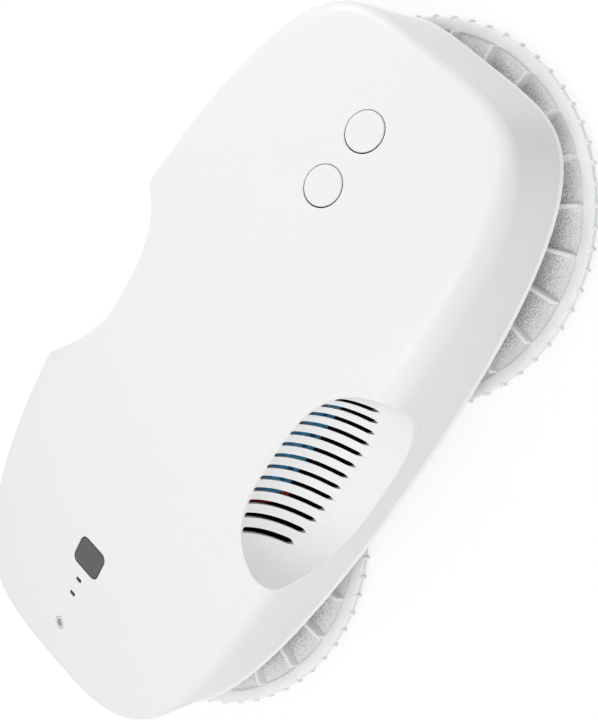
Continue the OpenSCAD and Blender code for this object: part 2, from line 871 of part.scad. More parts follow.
// Round tube along points, whose first side looks away from the case's middle
module tube(pts, d) {
    last = len(pts) - 1;
    skin([for (i = [0:last])
        let (
            along = unit(pts[min(i + 1, last)] - pts[max(i - 1, 0)]),
            side = unit(cross(along, [0, 0, 1])),
            up = cross(side, along)
        )
        [for (k = [0:lead_sides - 1])
            let (a = k * 360 / lead_sides) pts[i] + d / 2 * (cos(a) * side + sin(a) * up)]]);
}

module battery_leads() {
    route = smooth_route(lead_route, lead_spans);
    color("red") {
        tube(route, lead_d);
        tube([for (p = route) p + [0, 0, lead_apart]], lead_d);
    }
}

// Power inlet: a socket block on the tray with its nose through the end wall
module power_inlet() {
    color("black") difference() {
        union() {
            translate([end_foot_x, inlet_y - inlet_block_w / 2, floor_top])
                cube([inlet_block_l, inlet_block_w, inlet_z + inlet_block_w / 2 - floor_top]);
            translate([-case_l / 2 + band_flare + wall_draft, inlet_y, inlet_z])
                rotate([0, 90, 0]) cylinder(d = inlet_nose_d, h = wall + inlet_block_l / 2);
        }
        translate([-case_l / 2, inlet_y, inlet_z]) rotate([0, 90, 0])
            cylinder(d = inlet_d, h = band_flare + wall_draft + inlet_depth);
    }
}

// Safety rope's lug: a plate through the end wall on a foot that stands on the tray
module rope_lug() {
    color("silver") difference() {
        union() {
            translate([rope_x, rope_y, rope_z]) cylinder(d = rope_lug_w, h = rope_lug_t);
            translate([rope_x, rope_y - rope_lug_w / 2, rope_z])
                cube([end_foot_x + rope_lug_in - rope_x, rope_lug_w, rope_lug_t]);
            translate([end_foot_x, rope_y - rope_lug_w / 2, floor_top])
                cube([rope_lug_in, rope_lug_w, rope_z + rope_lug_t - floor_top]);
        }
        translate([rope_x, rope_y, rope_z - overrun])
            cylinder(d = rope_hole_d, h = rope_lug_t + 2 * overrun);
    }
}

// Outer form of the suction duct: a channel between the two spindles, with a plenum under
// the fan
module duct_form(inset) {
    h = duct_h - 2 * inset;
    translate([0, 0, cover_top + inset]) {
        translate([-disc_x, -duct_w / 2 + inset, 0]) cube([2 * disc_x, duct_w - 2 * inset, h]);
        for (side = [-1, 1]) at_disc(side) cylinder(r = duct_end_r - inset, h = h);
        translate([fan_x, 0, 0]) cylinder(r = plenum_r - inset, h = h);
    }
}

module suction_duct() {
    color("gainsboro") difference() {
        union() {
            duct_form(0);
            at_key_post(-1) translate([0, 0, duct_top - fan_wall])
                cylinder(d = post_d, h = fan_wall + board_air);
        }
        duct_form(fan_wall);
        translate([fan_x, 0, duct_top - 2 * fan_wall]) cylinder(d = fan_inlet_d, h = duct_h);
        for (side = [-1, 1]) at_disc(side) translate([0, 0, cover_top - overrun])
            cylinder(r = spindle_d / 2 + spindle_hole_play, h = duct_h / 2);
        at_key_post(-1) translate([0, 0, duct_top])
            cylinder(d = post_pilot_d, h = duct_h);
    }
}

module spindle_seals() {
    color("black") for (side = [-1, 1]) at_disc(side)
        translate([0, 0, cover_top + fan_wall])
            ring(spindle_d / 2 + run_fit + seal_w, spindle_d / 2 + run_fit, seal_h);
}

// Fan housing: a drum with a snout towards the front scoop, and outlets front and rear
module fan_housing() {
    r = fan_d / 2;
    snout_w = r + front_snout_out;
    color("royalblue") translate([fan_x, 0, duct_top]) difference() {
        union() {
            cylinder(r = r, h = fan_h);
            translate([front_snout_x - front_snout_l / 2, -snout_w, 0])
                cube([front_snout_l, snout_w, fan_h]);
        }
        translate([0, 0, fan_wall]) cylinder(r = r - fan_wall, h = fan_h);
        translate([front_snout_x - front_snout_l / 2 + fan_wall, fan_wall - snout_w, fan_wall])
            cube([front_snout_l - 2 * fan_wall, snout_w - fan_wall, fan_h - 2 * fan_wall]);
        translate([0, 0, -overrun]) cylinder(d = fan_inlet_d, h = fan_h);
        for (i = [0:outlet_count - 1])
            translate([
                (i - (outlet_count - 1) / 2) * outlet_pitch - outlet_w / 2 + outlet_shift,
                -snout_w - overrun, 2 * fan_wall
            ]) cube([outlet_w, snout_w + overrun + r, outlet_h]);
    }
}

module fan_lid() {
    color("royalblue") translate([fan_x, 0, fan_top])
        ring(fan_d / 2, fan_shaft_d / 2 + motor_air, fan_lid_t);
}

module fan_impeller() {
    r = fan_d / 2 - fan_wall - impeller_air;
    low = duct_top + fan_wall + impeller_floor_air;
    high = fan_top - impeller_floor_air;
    color("gainsboro") translate([fan_x, 0, low]) difference() {
        union() {
            translate([0, 0, high - low - impeller_plate_t]) cylinder(r = r, h = impeller_plate_t);
            cylinder(r = impeller_hub_r, h = high - low);
            for (i = [0:blade_count - 1]) rotate(i * 360 / blade_count)
                translate([blade_inner_r, 0, 0]) rotate(blade_turn)
                    translate([0, -blade_t / 2, 0])
                        cube([(r - blade_inner_r) * cos(blade_turn), blade_t, high - low]);
        }
        translate([0, 0, -overrun]) cylinder(r = fan_shaft_d / 2 + press_play, h = fan_h);
    }
}

module fan_shaft() {
    low = duct_top + fan_wall + impeller_floor_air;
    color("silver") translate([fan_x, 0, low])
        cylinder(d = fan_shaft_d, h = fan_lid_top + fan_shaft_in - low);
}

module fan_motor() {
    color("silver") translate([fan_x, 0, fan_lid_top]) difference() {
        cylinder(d = fan_motor_d, h = fan_motor_h);
        translate([0, 0, -overrun])
            cylinder(r = fan_shaft_d / 2 + run_fit, h = overrun + fan_shaft_in + seat_play);
    }
}

// Turns a disc's own pieces by its resting angle
module turned_disc(side) {
    at_disc(side) rotate(side < 0 ? left_disc_turn : right_disc_turn) children();
}

module at_disc_screws() {
    for (i = [0:disc_screw_count - 1]) rotate(i * 360 / disc_screw_count)
        translate([disc_screw_ring_d / 2, 0, 0]) children();
}

// Plan of a disc's rim, with the nubs round it
module rim_plan() {
    difference() {
        union() {
            circle(rim_r);
            for (i = [0:nub_count - 1]) rotate(i * 360 / nub_count)
                translate([rim_r - disc_bite, -nub_w / 2]) square([nub_out + disc_bite, nub_w]);
        }
        circle(rim_r - rim_w);
    }
}

// Disc: a web with radial ribs, and a raised rim
module disc(side) {
    rim_inner_r = rim_r - rim_w;
    color("white") turned_disc(side) difference() {
        union() {
            translate([0, 0, pad_t]) cylinder(r = rim_inner_r + disc_bite, h = web_t);
            translate([0, 0, rim_low]) linear_extrude(rim_h) rim_plan();
            for (i = [0:rib_count - 1]) rotate(i * 360 / rib_count)
                translate([rib_inner_d / 2, -rib_w / 2, web_top - disc_bite])
                    cube([rim_inner_r + disc_bite / 2 - rib_inner_d / 2, rib_w, rib_h + disc_bite]);
        }
        translate([0, 0, pad_t - overrun]) cylinder(d = spindle_bore, h = rib_top);
        at_disc_screws() translate([0, 0, pad_t - overrun])
            cylinder(d = disc_screw_d + 2 * screw_play, h = rib_top);
    }
}

module pad(side) {
    color("whitesmoke") at_disc(side) ring(pad_d / 2, pad_bore / 2, pad_t);
}

module disc_screws(side) {
    color("silver") turned_disc(side) at_disc_screws() translate([0, 0, pad_t])
        screw(disc_screw_d - 2 * press_play, disc_screw_head_d, disc_screw_head_h,
            web_t + flange_t);
}

// Hollow spindle: flange on the disc, tube through the bearings, collar under the gear
module spindle(side) {
    top = cover_top + fan_wall + spindle_in_duct;
    color("silver") turned_disc(side) difference() {
        union() {
            translate([0, 0, web_top]) cylinder(d = flange_d, h = flange_t);
            translate([0, 0, web_top]) cylinder(d = spindle_d, h = top - web_top);
            translate([0, 0, boss_top + seat_play])
                cylinder(r = spindle_d / 2 + clip_w, h = collar_h - seat_play);
        }
        translate([0, 0, web_top - overrun]) cylinder(d = spindle_bore, h = top);
        at_disc_screws() translate([0, 0, web_top - overrun])
            cylinder(d = disc_screw_d, h = flange_t + 2 * overrun);
    }
}

module spindle_clip(side) {
    color("gray") at_disc(side) translate([0, 0, gear_top])
        ring(spindle_d / 2 + clip_w, spindle_d / 2 + press_play, clip_t);
}

module bearings(side) {
    color("silver") at_disc(side) for (i = [0, 1])
        translate([0, 0, boss_low + boss_lip_t + i * (bearing_w + bearing_apart)])
            ring(bearing_d / 2, spindle_d / 2 + run_fit, bearing_w);
}

// Angle in degrees between a flank's start on the base circle and its point at radius r
function flank_angle(base_r, r) = let (a = acos(base_r / r)) tan(a) * 180 / PI - a;

// Outline of a spur gear with a tooth centred on +X
function gear_outline(teeth) = let (
    pitch_r = gear_module * teeth / 2,
    base_r = pitch_r * cos(pressure_angle),
    tip_r = pitch_r + tooth_out,
    root_r = pitch_r - gear_module * dedendum_share,
    half = 90 / teeth - backlash / 4 / pitch_r * 180 / PI + flank_angle(base_r, pitch_r),
    start_r = max(base_r, root_r),
    flank = [for (i = [0:flank_steps])
        let (r = start_r + (tip_r - start_r) * i / flank_steps) [r, half - flank_angle(base_r, r)]],
    side = root_r < start_r ? concat([[root_r, half]], flank) : flank
) [for (t = [0:teeth - 1]) each concat(
    [for (q = side) q.x * [cos(t * 360 / teeth - q.y), sin(t * 360 / teeth - q.y)]],
    [for (i = [len(side) - 1:-1:0])
        let (q = side[i]) q.x * [cos(t * 360 / teeth + q.y), sin(t * 360 / teeth + q.y)]]
)];

// Disc gear, with a tooth centred towards its pinion
module disc_gear(side) {
    color("ivory") at_disc(side) translate([0, 0, gear_low]) difference() {
        rotate(side * 90) linear_extrude(gear_w) polygon(gear_outline(gear_teeth));
        translate([0, 0, -overrun])
            cylinder(r = spindle_d / 2 + press_play, h = gear_w + 2 * overrun);
    }
}

// Motor pinion, with a tooth space centred towards the disc gear
module pinion(side) {
    color("ivory") at_motor(side) translate([0, 0, gear_low]) difference() {
        rotate(180 / pinion_teeth - side * 90)
            linear_extrude(gear_w) polygon(gear_outline(pinion_teeth));
        translate([0, 0, -overrun])
            cylinder(r = motor_shaft_d / 2 + press_play, h = gear_w + 2 * overrun);
    }
}

// Plan of the gear cover: round both gears, grown by a margin
module gear_room(side, grow) {
    big_r = gear_r + tooth_out + gear_air + grow;
    small_r = pinion_r + tooth_out + gear_air + grow;
    circle(big_r);
    translate([0, side * gear_centres]) circle(small_r);
    translate([-small_r, side < 0 ? -gear_centres : 0]) square([2 * small_r, gear_centres]);
}

module gear_cover(side) {
    color("gainsboro") at_disc(side) difference() {
        translate([0, 0, floor_top])
            linear_extrude(cover_top - floor_top) gear_room(side, cover_wall);
        translate([0, 0, floor_top - overrun])
            linear_extrude(cover_low - floor_top + overrun) gear_room(side, 0);
        cylinder(r = spindle_d / 2 + spindle_hole_play, h = duct_top);
        translate([0, side * gear_centres, 0])
            cylinder(r = motor_shaft_d / 2 + motor_air, h = duct_top);
    }
}

module drive_motor(side) {
    color("silver") at_motor(side) translate([0, 0, cover_top]) difference() {
        cylinder(d = motor_d, h = motor_h);
        translate([0, 0, -overrun])
            cylinder(r = motor_shaft_d / 2 + run_fit, h = overrun + motor_shaft_in + seat_play);
    }
}

module motor_shaft(side) {
    color("silver") at_motor(side) translate([0, 0, gear_low])
        cylinder(d = motor_shaft_d, h = cover_top + motor_shaft_in - gear_low);
}

module left_disc() { disc(-1); }
module right_disc() { disc(1); }
module left_pad() { pad(-1); }
module right_pad() { pad(1); }
module left_disc_screws() { disc_screws(-1); }
module right_disc_screws() { disc_screws(1); }
module left_spindle() { spindle(-1); }
module right_spindle() { spindle(1); }
module left_gear() { disc_gear(-1); }
module right_gear() { disc_gear(1); }
module left_clip() { spindle_clip(-1); }
module right_clip() { spindle_clip(1); }
module left_bearings() { bearings(-1); }
module right_bearings() { bearings(1); }
module left_gear_cover() { gear_cover(-1); }
module right_gear_cover() { gear_cover(1); }
module left_motor() { drive_motor(-1); }
module right_motor() { drive_motor(1); }
module left_motor_shaft() { motor_shaft(-1); }
module right_motor_shaft() { motor_shaft(1); }
module left_pinion() { pinion(-1); }
module right_pinion() { pinion(1); }

top_shell();
base_tray();
front_grille();
rear_grille();
shell_gasket();
case_screws();
power_button();
power_plunger();
inner_key();
inner_plunger();
outer_key();
outer_plunger();
tact_switches();
light_pipes();
status_lens();
main_board();
board_parts();
board_screws();
key_board();
battery_cradle();
battery_cells();
battery_leads();
power_inlet();
rope_lug();
suction_duct();
spindle_seals();
fan_housing();
fan_lid();
fan_impeller();
fan_shaft();
fan_motor();
left_disc();
right_disc();
left_pad();
right_pad();
left_disc_screws();
right_disc_screws();
left_spindle();
right_spindle();
left_gear();
right_gear();
left_clip();
right_clip();
left_bearings();
right_bearings();
left_gear_cover();
right_gear_cover();
left_motor();
right_motor();
left_motor_shaft();
right_motor_shaft();
left_pinion();
right_pinion();
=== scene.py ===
import math

import bmesh
import bpy
import numpy as np
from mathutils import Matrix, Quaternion, Vector
from mathutils.bvhtree import BVHTree


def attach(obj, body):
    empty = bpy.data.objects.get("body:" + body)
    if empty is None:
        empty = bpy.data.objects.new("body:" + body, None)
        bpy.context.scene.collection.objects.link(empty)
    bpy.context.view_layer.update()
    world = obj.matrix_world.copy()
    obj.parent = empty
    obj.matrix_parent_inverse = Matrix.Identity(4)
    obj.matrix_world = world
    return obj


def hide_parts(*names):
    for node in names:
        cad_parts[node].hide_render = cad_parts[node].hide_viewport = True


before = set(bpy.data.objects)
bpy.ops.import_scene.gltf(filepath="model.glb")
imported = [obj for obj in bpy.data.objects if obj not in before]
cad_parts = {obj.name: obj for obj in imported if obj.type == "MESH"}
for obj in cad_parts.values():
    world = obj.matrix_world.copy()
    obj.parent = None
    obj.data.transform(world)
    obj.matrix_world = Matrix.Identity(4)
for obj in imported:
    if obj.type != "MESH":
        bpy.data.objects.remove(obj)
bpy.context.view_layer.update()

# Camera: it stands where the photographer's did, about 690 mm off and above the end with the
# two round keys.
camera = bpy.data.objects.new("camera", bpy.data.cameras.new("camera"))
bpy.context.scene.collection.objects.link(camera)
camera.location = (0.251164, -0.297305, 0.577395)
camera.rotation_mode = "QUATERNION"
camera.rotation_quaternion = Quaternion((0.859737, 0.125288, 0.270904, -0.414446))
camera.data.lens = 90.444
camera.data.sensor_width = 36
camera.data.clip_start = 0.01
bpy.context.scene.camera = camera
bpy.context.scene.view_settings.view_transform = "Standard"


# Studio: a white table, a large soft lamp overhead and two at the sides, so that both long
# walls are lit and the corner towards the camera stays the darkest.
def soft_lamp(name, place, size, power):
    lamp = bpy.data.objects.new(name, bpy.data.lights.new(name, "AREA"))
    bpy.context.scene.collection.objects.link(lamp)
    lamp.data.shape = "DISK"
    lamp.data.size = size
    lamp.data.energy = power
    lamp.location = place
    lamp.rotation_mode = "QUATERNION"
    lamp.rotation_quaternion = (Vector((0, 0, 0.05)) - Vector(place)).to_track_quat("-Z", "Y")


soft_lamp("lamp_above", (0.05, -0.5, 1.15), 0.6, 4.9)
soft_lamp("lamp_left", (-0.5, -1.0, 0.55), 0.6, 2.2)
soft_lamp("lamp_right", (0.7, 0.9, 0.5), 0.6, 4.8)


# What the camera sees directly, or in a reflection or through something clear
def shown_rays(tree):
    rays = tree.nodes.new("ShaderNodeLightPath").outputs
    shown = rays["Is Camera Ray"]
    for kind in ("Is Glossy Ray", "Is Transmission Ray"):
        either = tree.nodes.new("ShaderNodeMath")
        either.operation = "MAXIMUM"
        tree.links.new(shown, either.inputs[0])
        tree.links.new(rays[kind], either.inputs[1])
        shown = either.outputs[0]
    return shown


world = bpy.data.worlds.new("studio")
bpy.context.scene.world = world
world.use_nodes = True
sky = world.node_tree.nodes
sky_light = sky["Background"]
sky_light.inputs["Color"].default_value = (1, 1, 1, 1)
sky_way = sky.new("ShaderNodeTexCoord")
sky_side = sky.new("ShaderNodeVectorMath")
sky_side.operation = "DOT_PRODUCT"
sky_side.inputs[1].default_value = (0.66, -0.72, -0.2)
sky_level = sky.new("ShaderNodeMapRange")
sky_level.inputs["From Min"].default_value = 0.1
sky_level.inputs["From Max"].default_value = 0.9
sky_level.inputs["To Min"].default_value = 0.62
sky_level.inputs["To Max"].default_value = 0.2
world.node_tree.links.new(sky_way.outputs["Generated"], sky_side.inputs[0])
world.node_tree.links.new(sky_side.outputs["Value"], sky_level.inputs["Value"])
world.node_tree.links.new(sky_level.outputs["Result"], sky_light.inputs["Strength"])
sky_shown = sky.new("ShaderNodeBackground")
sky_shown.inputs["Color"].default_value = (1, 1, 1, 1)
sky_shown.inputs["Strength"].default_value = 1
sky_choice = sky.new("ShaderNodeMixShader")
world.node_tree.links.new(shown_rays(world.node_tree), sky_choice.inputs[0])
world.node_tree.links.new(sky_light.outputs[0], sky_choice.inputs[1])
world.node_tree.links.new(sky_shown.outputs[0], sky_choice.inputs[2])
world.node_tree.links.new(sky_choice.outputs[0], sky["World Output"].inputs["Surface"])

table_mesh = bpy.data.meshes.new("table")
table_mesh.from_pydata([(-4, -4, 0), (4, -4, 0), (4, 4, 0), (-4, 4, 0)], [], [(0, 1, 2, 3)])
table = bpy.data.objects.new("table", table_mesh)
bpy.context.scene.collection.objects.link(table)
table.location.z = -0.0002
table_paint = bpy.data.materials.new("table_white")
table_paint.use_nodes = True
paint = table_paint.node_tree.nodes
paint_body = paint["Principled BSDF"]
paint_body.inputs["Roughness"].default_value = 0.9
paint_body.inputs["Specular IOR Level"].default_value = 0.1
paint_rays = shown_rays(table_paint.node_tree)
paint_colour = paint.new("ShaderNodeMix")
paint_colour.data_type = "RGBA"
paint_colour.inputs["A"].default_value = (0.8, 0.8, 0.8, 1)
paint_colour.inputs["B"].default_value = (0.22, 0.22, 0.22, 1)
paint_glow = paint.new("ShaderNodeMath")
paint_glow.operation = "MULTIPLY"
paint_glow.inputs[1].default_value = 0.8
paint_link = table_paint.node_tree.links
paint_link.new(paint_rays, paint_colour.inputs["Factor"])
paint_link.new(paint_colour.outputs["Result"], paint_body.inputs["Base Color"])
paint_link.new(paint_rays, paint_glow.inputs[0])
paint_link.new(paint_glow.outputs[0], paint_body.inputs["Emission Strength"])
paint_body.inputs["Emission Color"].default_value = (1, 1, 1, 1)
table_mesh.materials.append(table_paint)

# Top shell: one injection moulding in white ABS with a satin skin. Its plan is a squared oval,
# its crown is domed both ways, and its upper edge is rounded more softly along the sides.
# Lengths are in millimetres, and become metres when a mesh is made.
CASE_HALF_L = 138.1
CASE_HALF_W = 67.7
CROWN_TOP = 82.2
WALL = 2.2
BAND_FLARE = 0.5
WALL_LEAN = 0.4
SHELL_LOW = 26.7


def crown(x, y, drop=0.0):
    return CROWN_TOP - drop - x * x / 1010 - y * y / 666


def oval(turn, half_l, half_w, along, across):
    c, s = np.cos(turn), np.sin(turn)
    return np.stack([
        half_l * np.sign(c) * np.abs(c) ** (2 / along),
        half_w * np.sign(s) * np.abs(s) ** (2 / across),
    ], 1)


def lower_plan(turn, inset):
    return oval(turn, CASE_HALF_L - inset, CASE_HALF_W - inset, 2.2, 4.5)


def shoulder_plan(turn, inset):
    inset = np.asarray(inset, float)
    return oval(turn, CASE_HALF_L - inset, CASE_HALF_W - inset, 3.2, 4.3)


def even_turns(count):
    turn = np.linspace(0, 2 * math.pi, 40001)
    line = lower_plan(turn, 0) + shoulder_plan(turn, 8)
    run = np.concatenate([[0], np.cumsum(np.hypot(*np.diff(line, axis=0).T))])
    return np.interp(np.arange(count) * run[-1] / count, run, turn)


def lifted(plan, z):
    return np.column_stack([plan, np.broadcast_to(z, len(plan))])


def case_rings(inset, low, count=400):
    turn = even_turns(count)
    foot = lifted(lower_plan(turn, BAND_FLARE + inset), low)
    round_r = 3.5 + 5 * (1 - (np.abs(lower_plan(turn, 0)[:, 0]) / CASE_HALF_L) ** 3)
    round_r = np.maximum(round_r - inset, 1.75)
    edge = []
    for a in np.radians(np.linspace(0, 90, 15)):
        plan = shoulder_plan(turn, BAND_FLARE + inset + WALL_LEAN + round_r * (1 - math.cos(a)))
        edge.append(lifted(plan, crown(*plan.T, inset) - round_r * (1 - math.sin(a))))
    wall = [foot + s * (edge[0] - foot) for s in np.linspace(0, 1, 9)[:-1]]
    plan = shoulder_plan(turn, BAND_FLARE + inset + WALL_LEAN + round_r)
    dome = [lifted(plan * s, crown(*(plan * s).T, inset)) for s in np.linspace(1, 0, 31)[1:-1]]
    return wall + edge + dome


def solid(name, points, faces):
    mesh = bpy.data.meshes.new(name)
    mesh.from_pydata((np.asarray(points, float) / 1000).tolist(), [], faces)
    shape = bmesh.new()
    shape.from_mesh(mesh)
    bmesh.ops.recalc_face_normals(shape, faces=shape.faces)
    shape.to_mesh(mesh)
    shape.free()
    made = bpy.data.objects.new(name, mesh)
    bpy.context.scene.collection.objects.link(made)
    return made


def skinned(name, rings, low_tip=None, high_tip=None, joined=False):
    rings = [np.asarray(r, float) for r in rings]
    n, count = len(rings[0]), len(rings)
    points = np.concatenate(rings)
    i = np.arange(n)
    j = (i + 1) % n
    faces = []
    for k in range(count if joined else count - 1):
        a, b = k * n, (k + 1) % count * n
        faces += np.stack([a + i, a + j, b + j, b + i], 1).tolist()
    if not joined:
        last = (count - 1) * n
        for tip, start in ((low_tip, 0), (high_tip, last)):
            if tip is None:
                faces.append((start + i).tolist())
            else:
                faces += [[start + a, start + b, len(points)] for a, b in zip(i, j)]
                points = np.concatenate([points, [tip]])
    return solid(name, points, faces)


def applied(made):
    bpy.context.view_layer.update()
    mesh = bpy.data.meshes.new_from_object(made.evaluated_get(bpy.context.evaluated_depsgraph_get()))
    made.modifiers.clear()
    old = made.data
    made.data = mesh
    bpy.data.meshes.remove(old)
    return made


def carve(made, tool, how="DIFFERENCE", keep=False):
    step = made.modifiers.new("carve", "BOOLEAN")
    step.solver = "MANIFOLD"
    step.operation = how
    step.object = tool
    applied(made)
    if not keep:
        bpy.data.objects.remove(tool)
    return made


def smoothed(made, angle=35):
    made.data.shade_smooth()
    made.data.set_sharp_from_angle(angle=math.radians(angle))
    return made


def case_solid(name, inset, low):
    return skinned(name, case_rings(inset, low), high_tip=(0, 0, CROWN_TOP - inset))


def oval_turns(count):
    return np.arange(count) * 2 * math.pi / count


# A round form about an upright axis, from its profile of (radius, height)
def turned(name, profile, place=(0, 0), count=128, crowned=False):
    turn = oval_turns(count)
    rings = []
    tips = [None, None]
    for k, (r, z) in enumerate(profile):
        plan = np.stack([place[0] + r * np.cos(turn), place[1] + r * np.sin(turn)], 1)
        if r == 0:
            tips[0 if k == 0 else 1] = (*place, z + (crown(*place) if crowned else 0))
        else:
            rings.append(lifted(plan, z + (crown(*plan.T) if crowned else 0)))
    hollow = profile[0][0] > 0 and tuple(profile[0]) == tuple(profile[-1])
    if hollow:
        return skinned(name, rings[:-1], joined=True)
    return skinned(name, rings, *tips)


SCOOP_HALF_L = 44.0
SCOOP_X = -1.5
SCOOP_R = 34.5
SCOOP_EYE = np.array([90.0, 83.5])
FRONT_DECK, REAR_DECK = 42.5, 45.5


def scoop_depth(x, half_l=SCOOP_HALF_L):
    return np.maximum(1 - (np.abs(x) / half_l) ** 3, 0) ** (1 / 3)


# The scoop's own curve at mid-length: lip, round wall, then a straight run out of the case
def scoop_curve(deck, grow, fine=1):
    r = SCOOP_R + grow
    arc_y, edge_z = deck + SCOOP_R, crown(0, deck)
    lip = [(arc_y - r + 1.5 * (math.cos(a) - 1), edge_z + 1.5 * (math.sin(a) - 1))
           for a in np.radians(np.linspace(90, 4, 9))]
    arc = [(arc_y - r * math.cos(a), edge_z - r * math.sin(a))
           for a in np.radians(np.linspace(3.2, 45, 22 * fine))]
    foot = np.array(arc[-1]) + 36 * np.array([math.sin(math.pi / 4), -math.cos(math.pi / 4)])
    return np.array([(arc_y - r - 1.5, edge_z + 4.5), *lip, *arc, foot])


def scoop_solid(name, side, deck, grow):
    half_l = SCOOP_HALF_L + grow
    curve = np.concatenate([scoop_curve(deck, grow), [SCOOP_EYE]])
    rings = []
    for a in np.linspace(0, math.pi, 81)[1:-1]:
        x = -half_l * math.cos(a)
        line = SCOOP_EYE + scoop_depth(x, half_l) * (curve - SCOOP_EYE)
        rings.append([(SCOOP_X + x, side * y, z) for y, z in line])
    ends = [(SCOOP_X + s * half_l, side * SCOOP_EYE[0], SCOOP_EYE[1]) for s in (-1, 1)]
    return skinned(name, rings, *ends)


def rounded_plan(half_l, half_w, r, count=8):
    return np.array([
        (sx * (half_l - r) + r * math.cos(a), sy * (half_w - r) + r * math.sin(a))
        for sx, sy, start in ((1, 1, 0), (-1, 1, 90), (-1, -1, 180), (1, -1, 270))
        for a in np.radians(np.linspace(start, start + 90, count))
    ])


# Upright hole through the shell whose mouth is rounded where it meets the crown
def mouth(name, outline, low=40.0):
    rings = [lifted(outline(0), low)]
    for a in np.radians(np.linspace(0, 80, 5)):
        plan = outline(0.35 * (1 - math.cos(a)))
        rings.append(lifted(plan, crown(*plan.T) - 0.35 * (1 - math.sin(a))))
    plan = outline(0.45)
    rings.append(lifted(plan, crown(*plan.T) + 2))
    return skinned(name, rings)


def round_outline(x, r, count=96):
    turn = oval_turns(count)
    return lambda grow: np.stack([x + (r + grow) * np.cos(turn), (r + grow) * np.sin(turn)], 1)


def square_outline(x, half_l, half_w, r):
    return lambda grow: rounded_plan(half_l + grow, half_w + grow, r + grow) + (x, 0)


TOWER_TURNS = np.radians([22, 68, 112, 158, 202, 248, 292, 338])
TOWERS = lower_plan(TOWER_TURNS, 4.8)

form = case_solid("case_form", 0, SHELL_LOW)
shell = case_solid("shell", 0, SHELL_LOW)
carve(shell, case_solid("hollow", WALL, SHELL_LOW - 1))
for tower in TOWERS:
    carve(shell, turned("tower", [(0, 26.7), (3.5, 26.7), (3.5, 43.3), (3.1, 43.7), (0, 43.7)],
                        tower, 40), "UNION")
    carve(shell, turned("pilot", [(0, 20), (1.305, 20), (1.305, 42.7), (0, 42.7)], tower, 24))
carve(shell, scoop_solid("scoop", 1, REAR_DECK, WALL + 0.02))
carve(shell, scoop_solid("scoop", -1, FRONT_DECK, WALL + 0.02))
INNER_KEY_X, OUTER_KEY_X = 81.8, 104.2
BUTTON_X = -86.2
LIGHTS_X = (-97.4, -104.4)
LENS_X = -119.9
KEY_R = 7.2
KEY_GAP = 0.3
for x in (INNER_KEY_X, OUTER_KEY_X):
    carve(shell, mouth("mouth", round_outline(x, KEY_R + KEY_GAP)))
carve(shell, mouth("mouth", square_outline(BUTTON_X, 5.95, 7, 2.8)))
for x in LIGHTS_X:
    carve(shell, mouth("mouth", square_outline(x, 0.65, 1.3, 0.3)))
carve(shell, mouth("mouth", round_outline(LENS_X, 2.4, 40)))


def lying(name, r, x0, x1, y, z, count=64):
    turn = oval_turns(count)
    rings = [[(x, y + r * math.cos(a), z + r * math.sin(a)) for a in turn] for x in (x0, x1)]
    return skinned(name, rings)


def block(name, low, high):
    (x0, y0, z0), (x1, y1, z1) = low, high
    rings = [[(x0, y0, z), (x1, y0, z), (x1, y1, z), (x0, y1, z)] for z in (z0, z1)]
    return skinned(name, rings)


carve(shell, lying("inlet_hole", 4.7, -139.1, -128, 16, 36.7))
carve(shell, block("lug_slot", (-139.1, -22.2, 31.5), (-129, -9.8, 36.9)))


# Keeps the shading of the uncut forms on the faces that still lie on them
def shade_from(made, *sources):
    smoothed(made)
    loops = [(0, 0, 0)] * len(made.data.loops)
    for source in sources:
        tree = BVHTree.FromPolygons([v.co for v in source.data.vertices],
                                    [p.vertices for p in source.data.polygons])
        source.data.shade_smooth()
        corners = [tuple(p.vertices) for p in source.data.polygons]
        normals = [v.normal.copy() for v in source.data.vertices]
        places = [v.co.copy() for v in source.data.vertices]
        wanted = []
        for v in made.data.vertices:
            spot, _, face, gap = tree.find_nearest(v.co)
            if gap > 3e-5:
                wanted.append(None)
                continue
            near = [(1 / ((places[c] - spot).length + 1e-7) ** 2, normals[c]) for c in corners[face]]
            wanted.append(sum((w * n for w, n in near), Vector()).normalized())
        for p in made.data.polygons:
            for k in p.loop_indices:
                n = wanted[made.data.loops[k].vertex_index]
                if n is not None and abs(n.dot(p.normal)) > 0.9:
                    loops[k] = tuple(n if n.dot(p.normal) > 0 else -n)
    made.data.normals_split_custom_set(loops)
    return made


shade_from(shell, form)


def group_of(name, takes, gives):
    tree = bpy.data.node_groups.new(name, "ShaderNodeTree")
    for label, kind, value in takes:
        tree.interface.new_socket(label, in_out="INPUT", socket_type=kind).default_value = value
    for label, kind in gives:
        tree.interface.new_socket(label, in_out="OUTPUT", socket_type=kind)
    return tree, tree.nodes.new("NodeGroupInput").outputs, tree.nodes.new("NodeGroupOutput").inputs


COLOUR, NUMBER = "NodeSocketColor", "NodeSocketFloat"


def added(tree, kind, links=(), **values):
    node = tree.nodes.new("ShaderNode" + kind)
    for key, value in values.items():
        if hasattr(node, key):
            setattr(node, key, value)
        else:
            node.inputs[key.replace("_", " ")].default_value = value
    for key, source in dict(links).items():
        tree.links.new(source, node.inputs[key])
    return node


def number(tree, operation, a, b):
    node = tree.nodes.new("ShaderNodeMath")
    node.operation = operation
    for k, value in enumerate((a, b)):
        if isinstance(value, (int, float)):
            node.inputs[k].default_value = value
        else:
            tree.links.new(value, node.inputs[k])
    return node.outputs[0]


def blended(tree, share, a, b, way="MIX"):
    node = tree.nodes.new("ShaderNodeMix")
    node.data_type = "RGBA"
    node.blend_type = way
    for key, value in (("Factor", share), ("A", a), ("B", b)):
        if isinstance(value, (int, float, tuple)):
            node.inputs[key].default_value = value
        else:
            tree.links.new(value, node.inputs[key])
    return node.outputs["Result"]


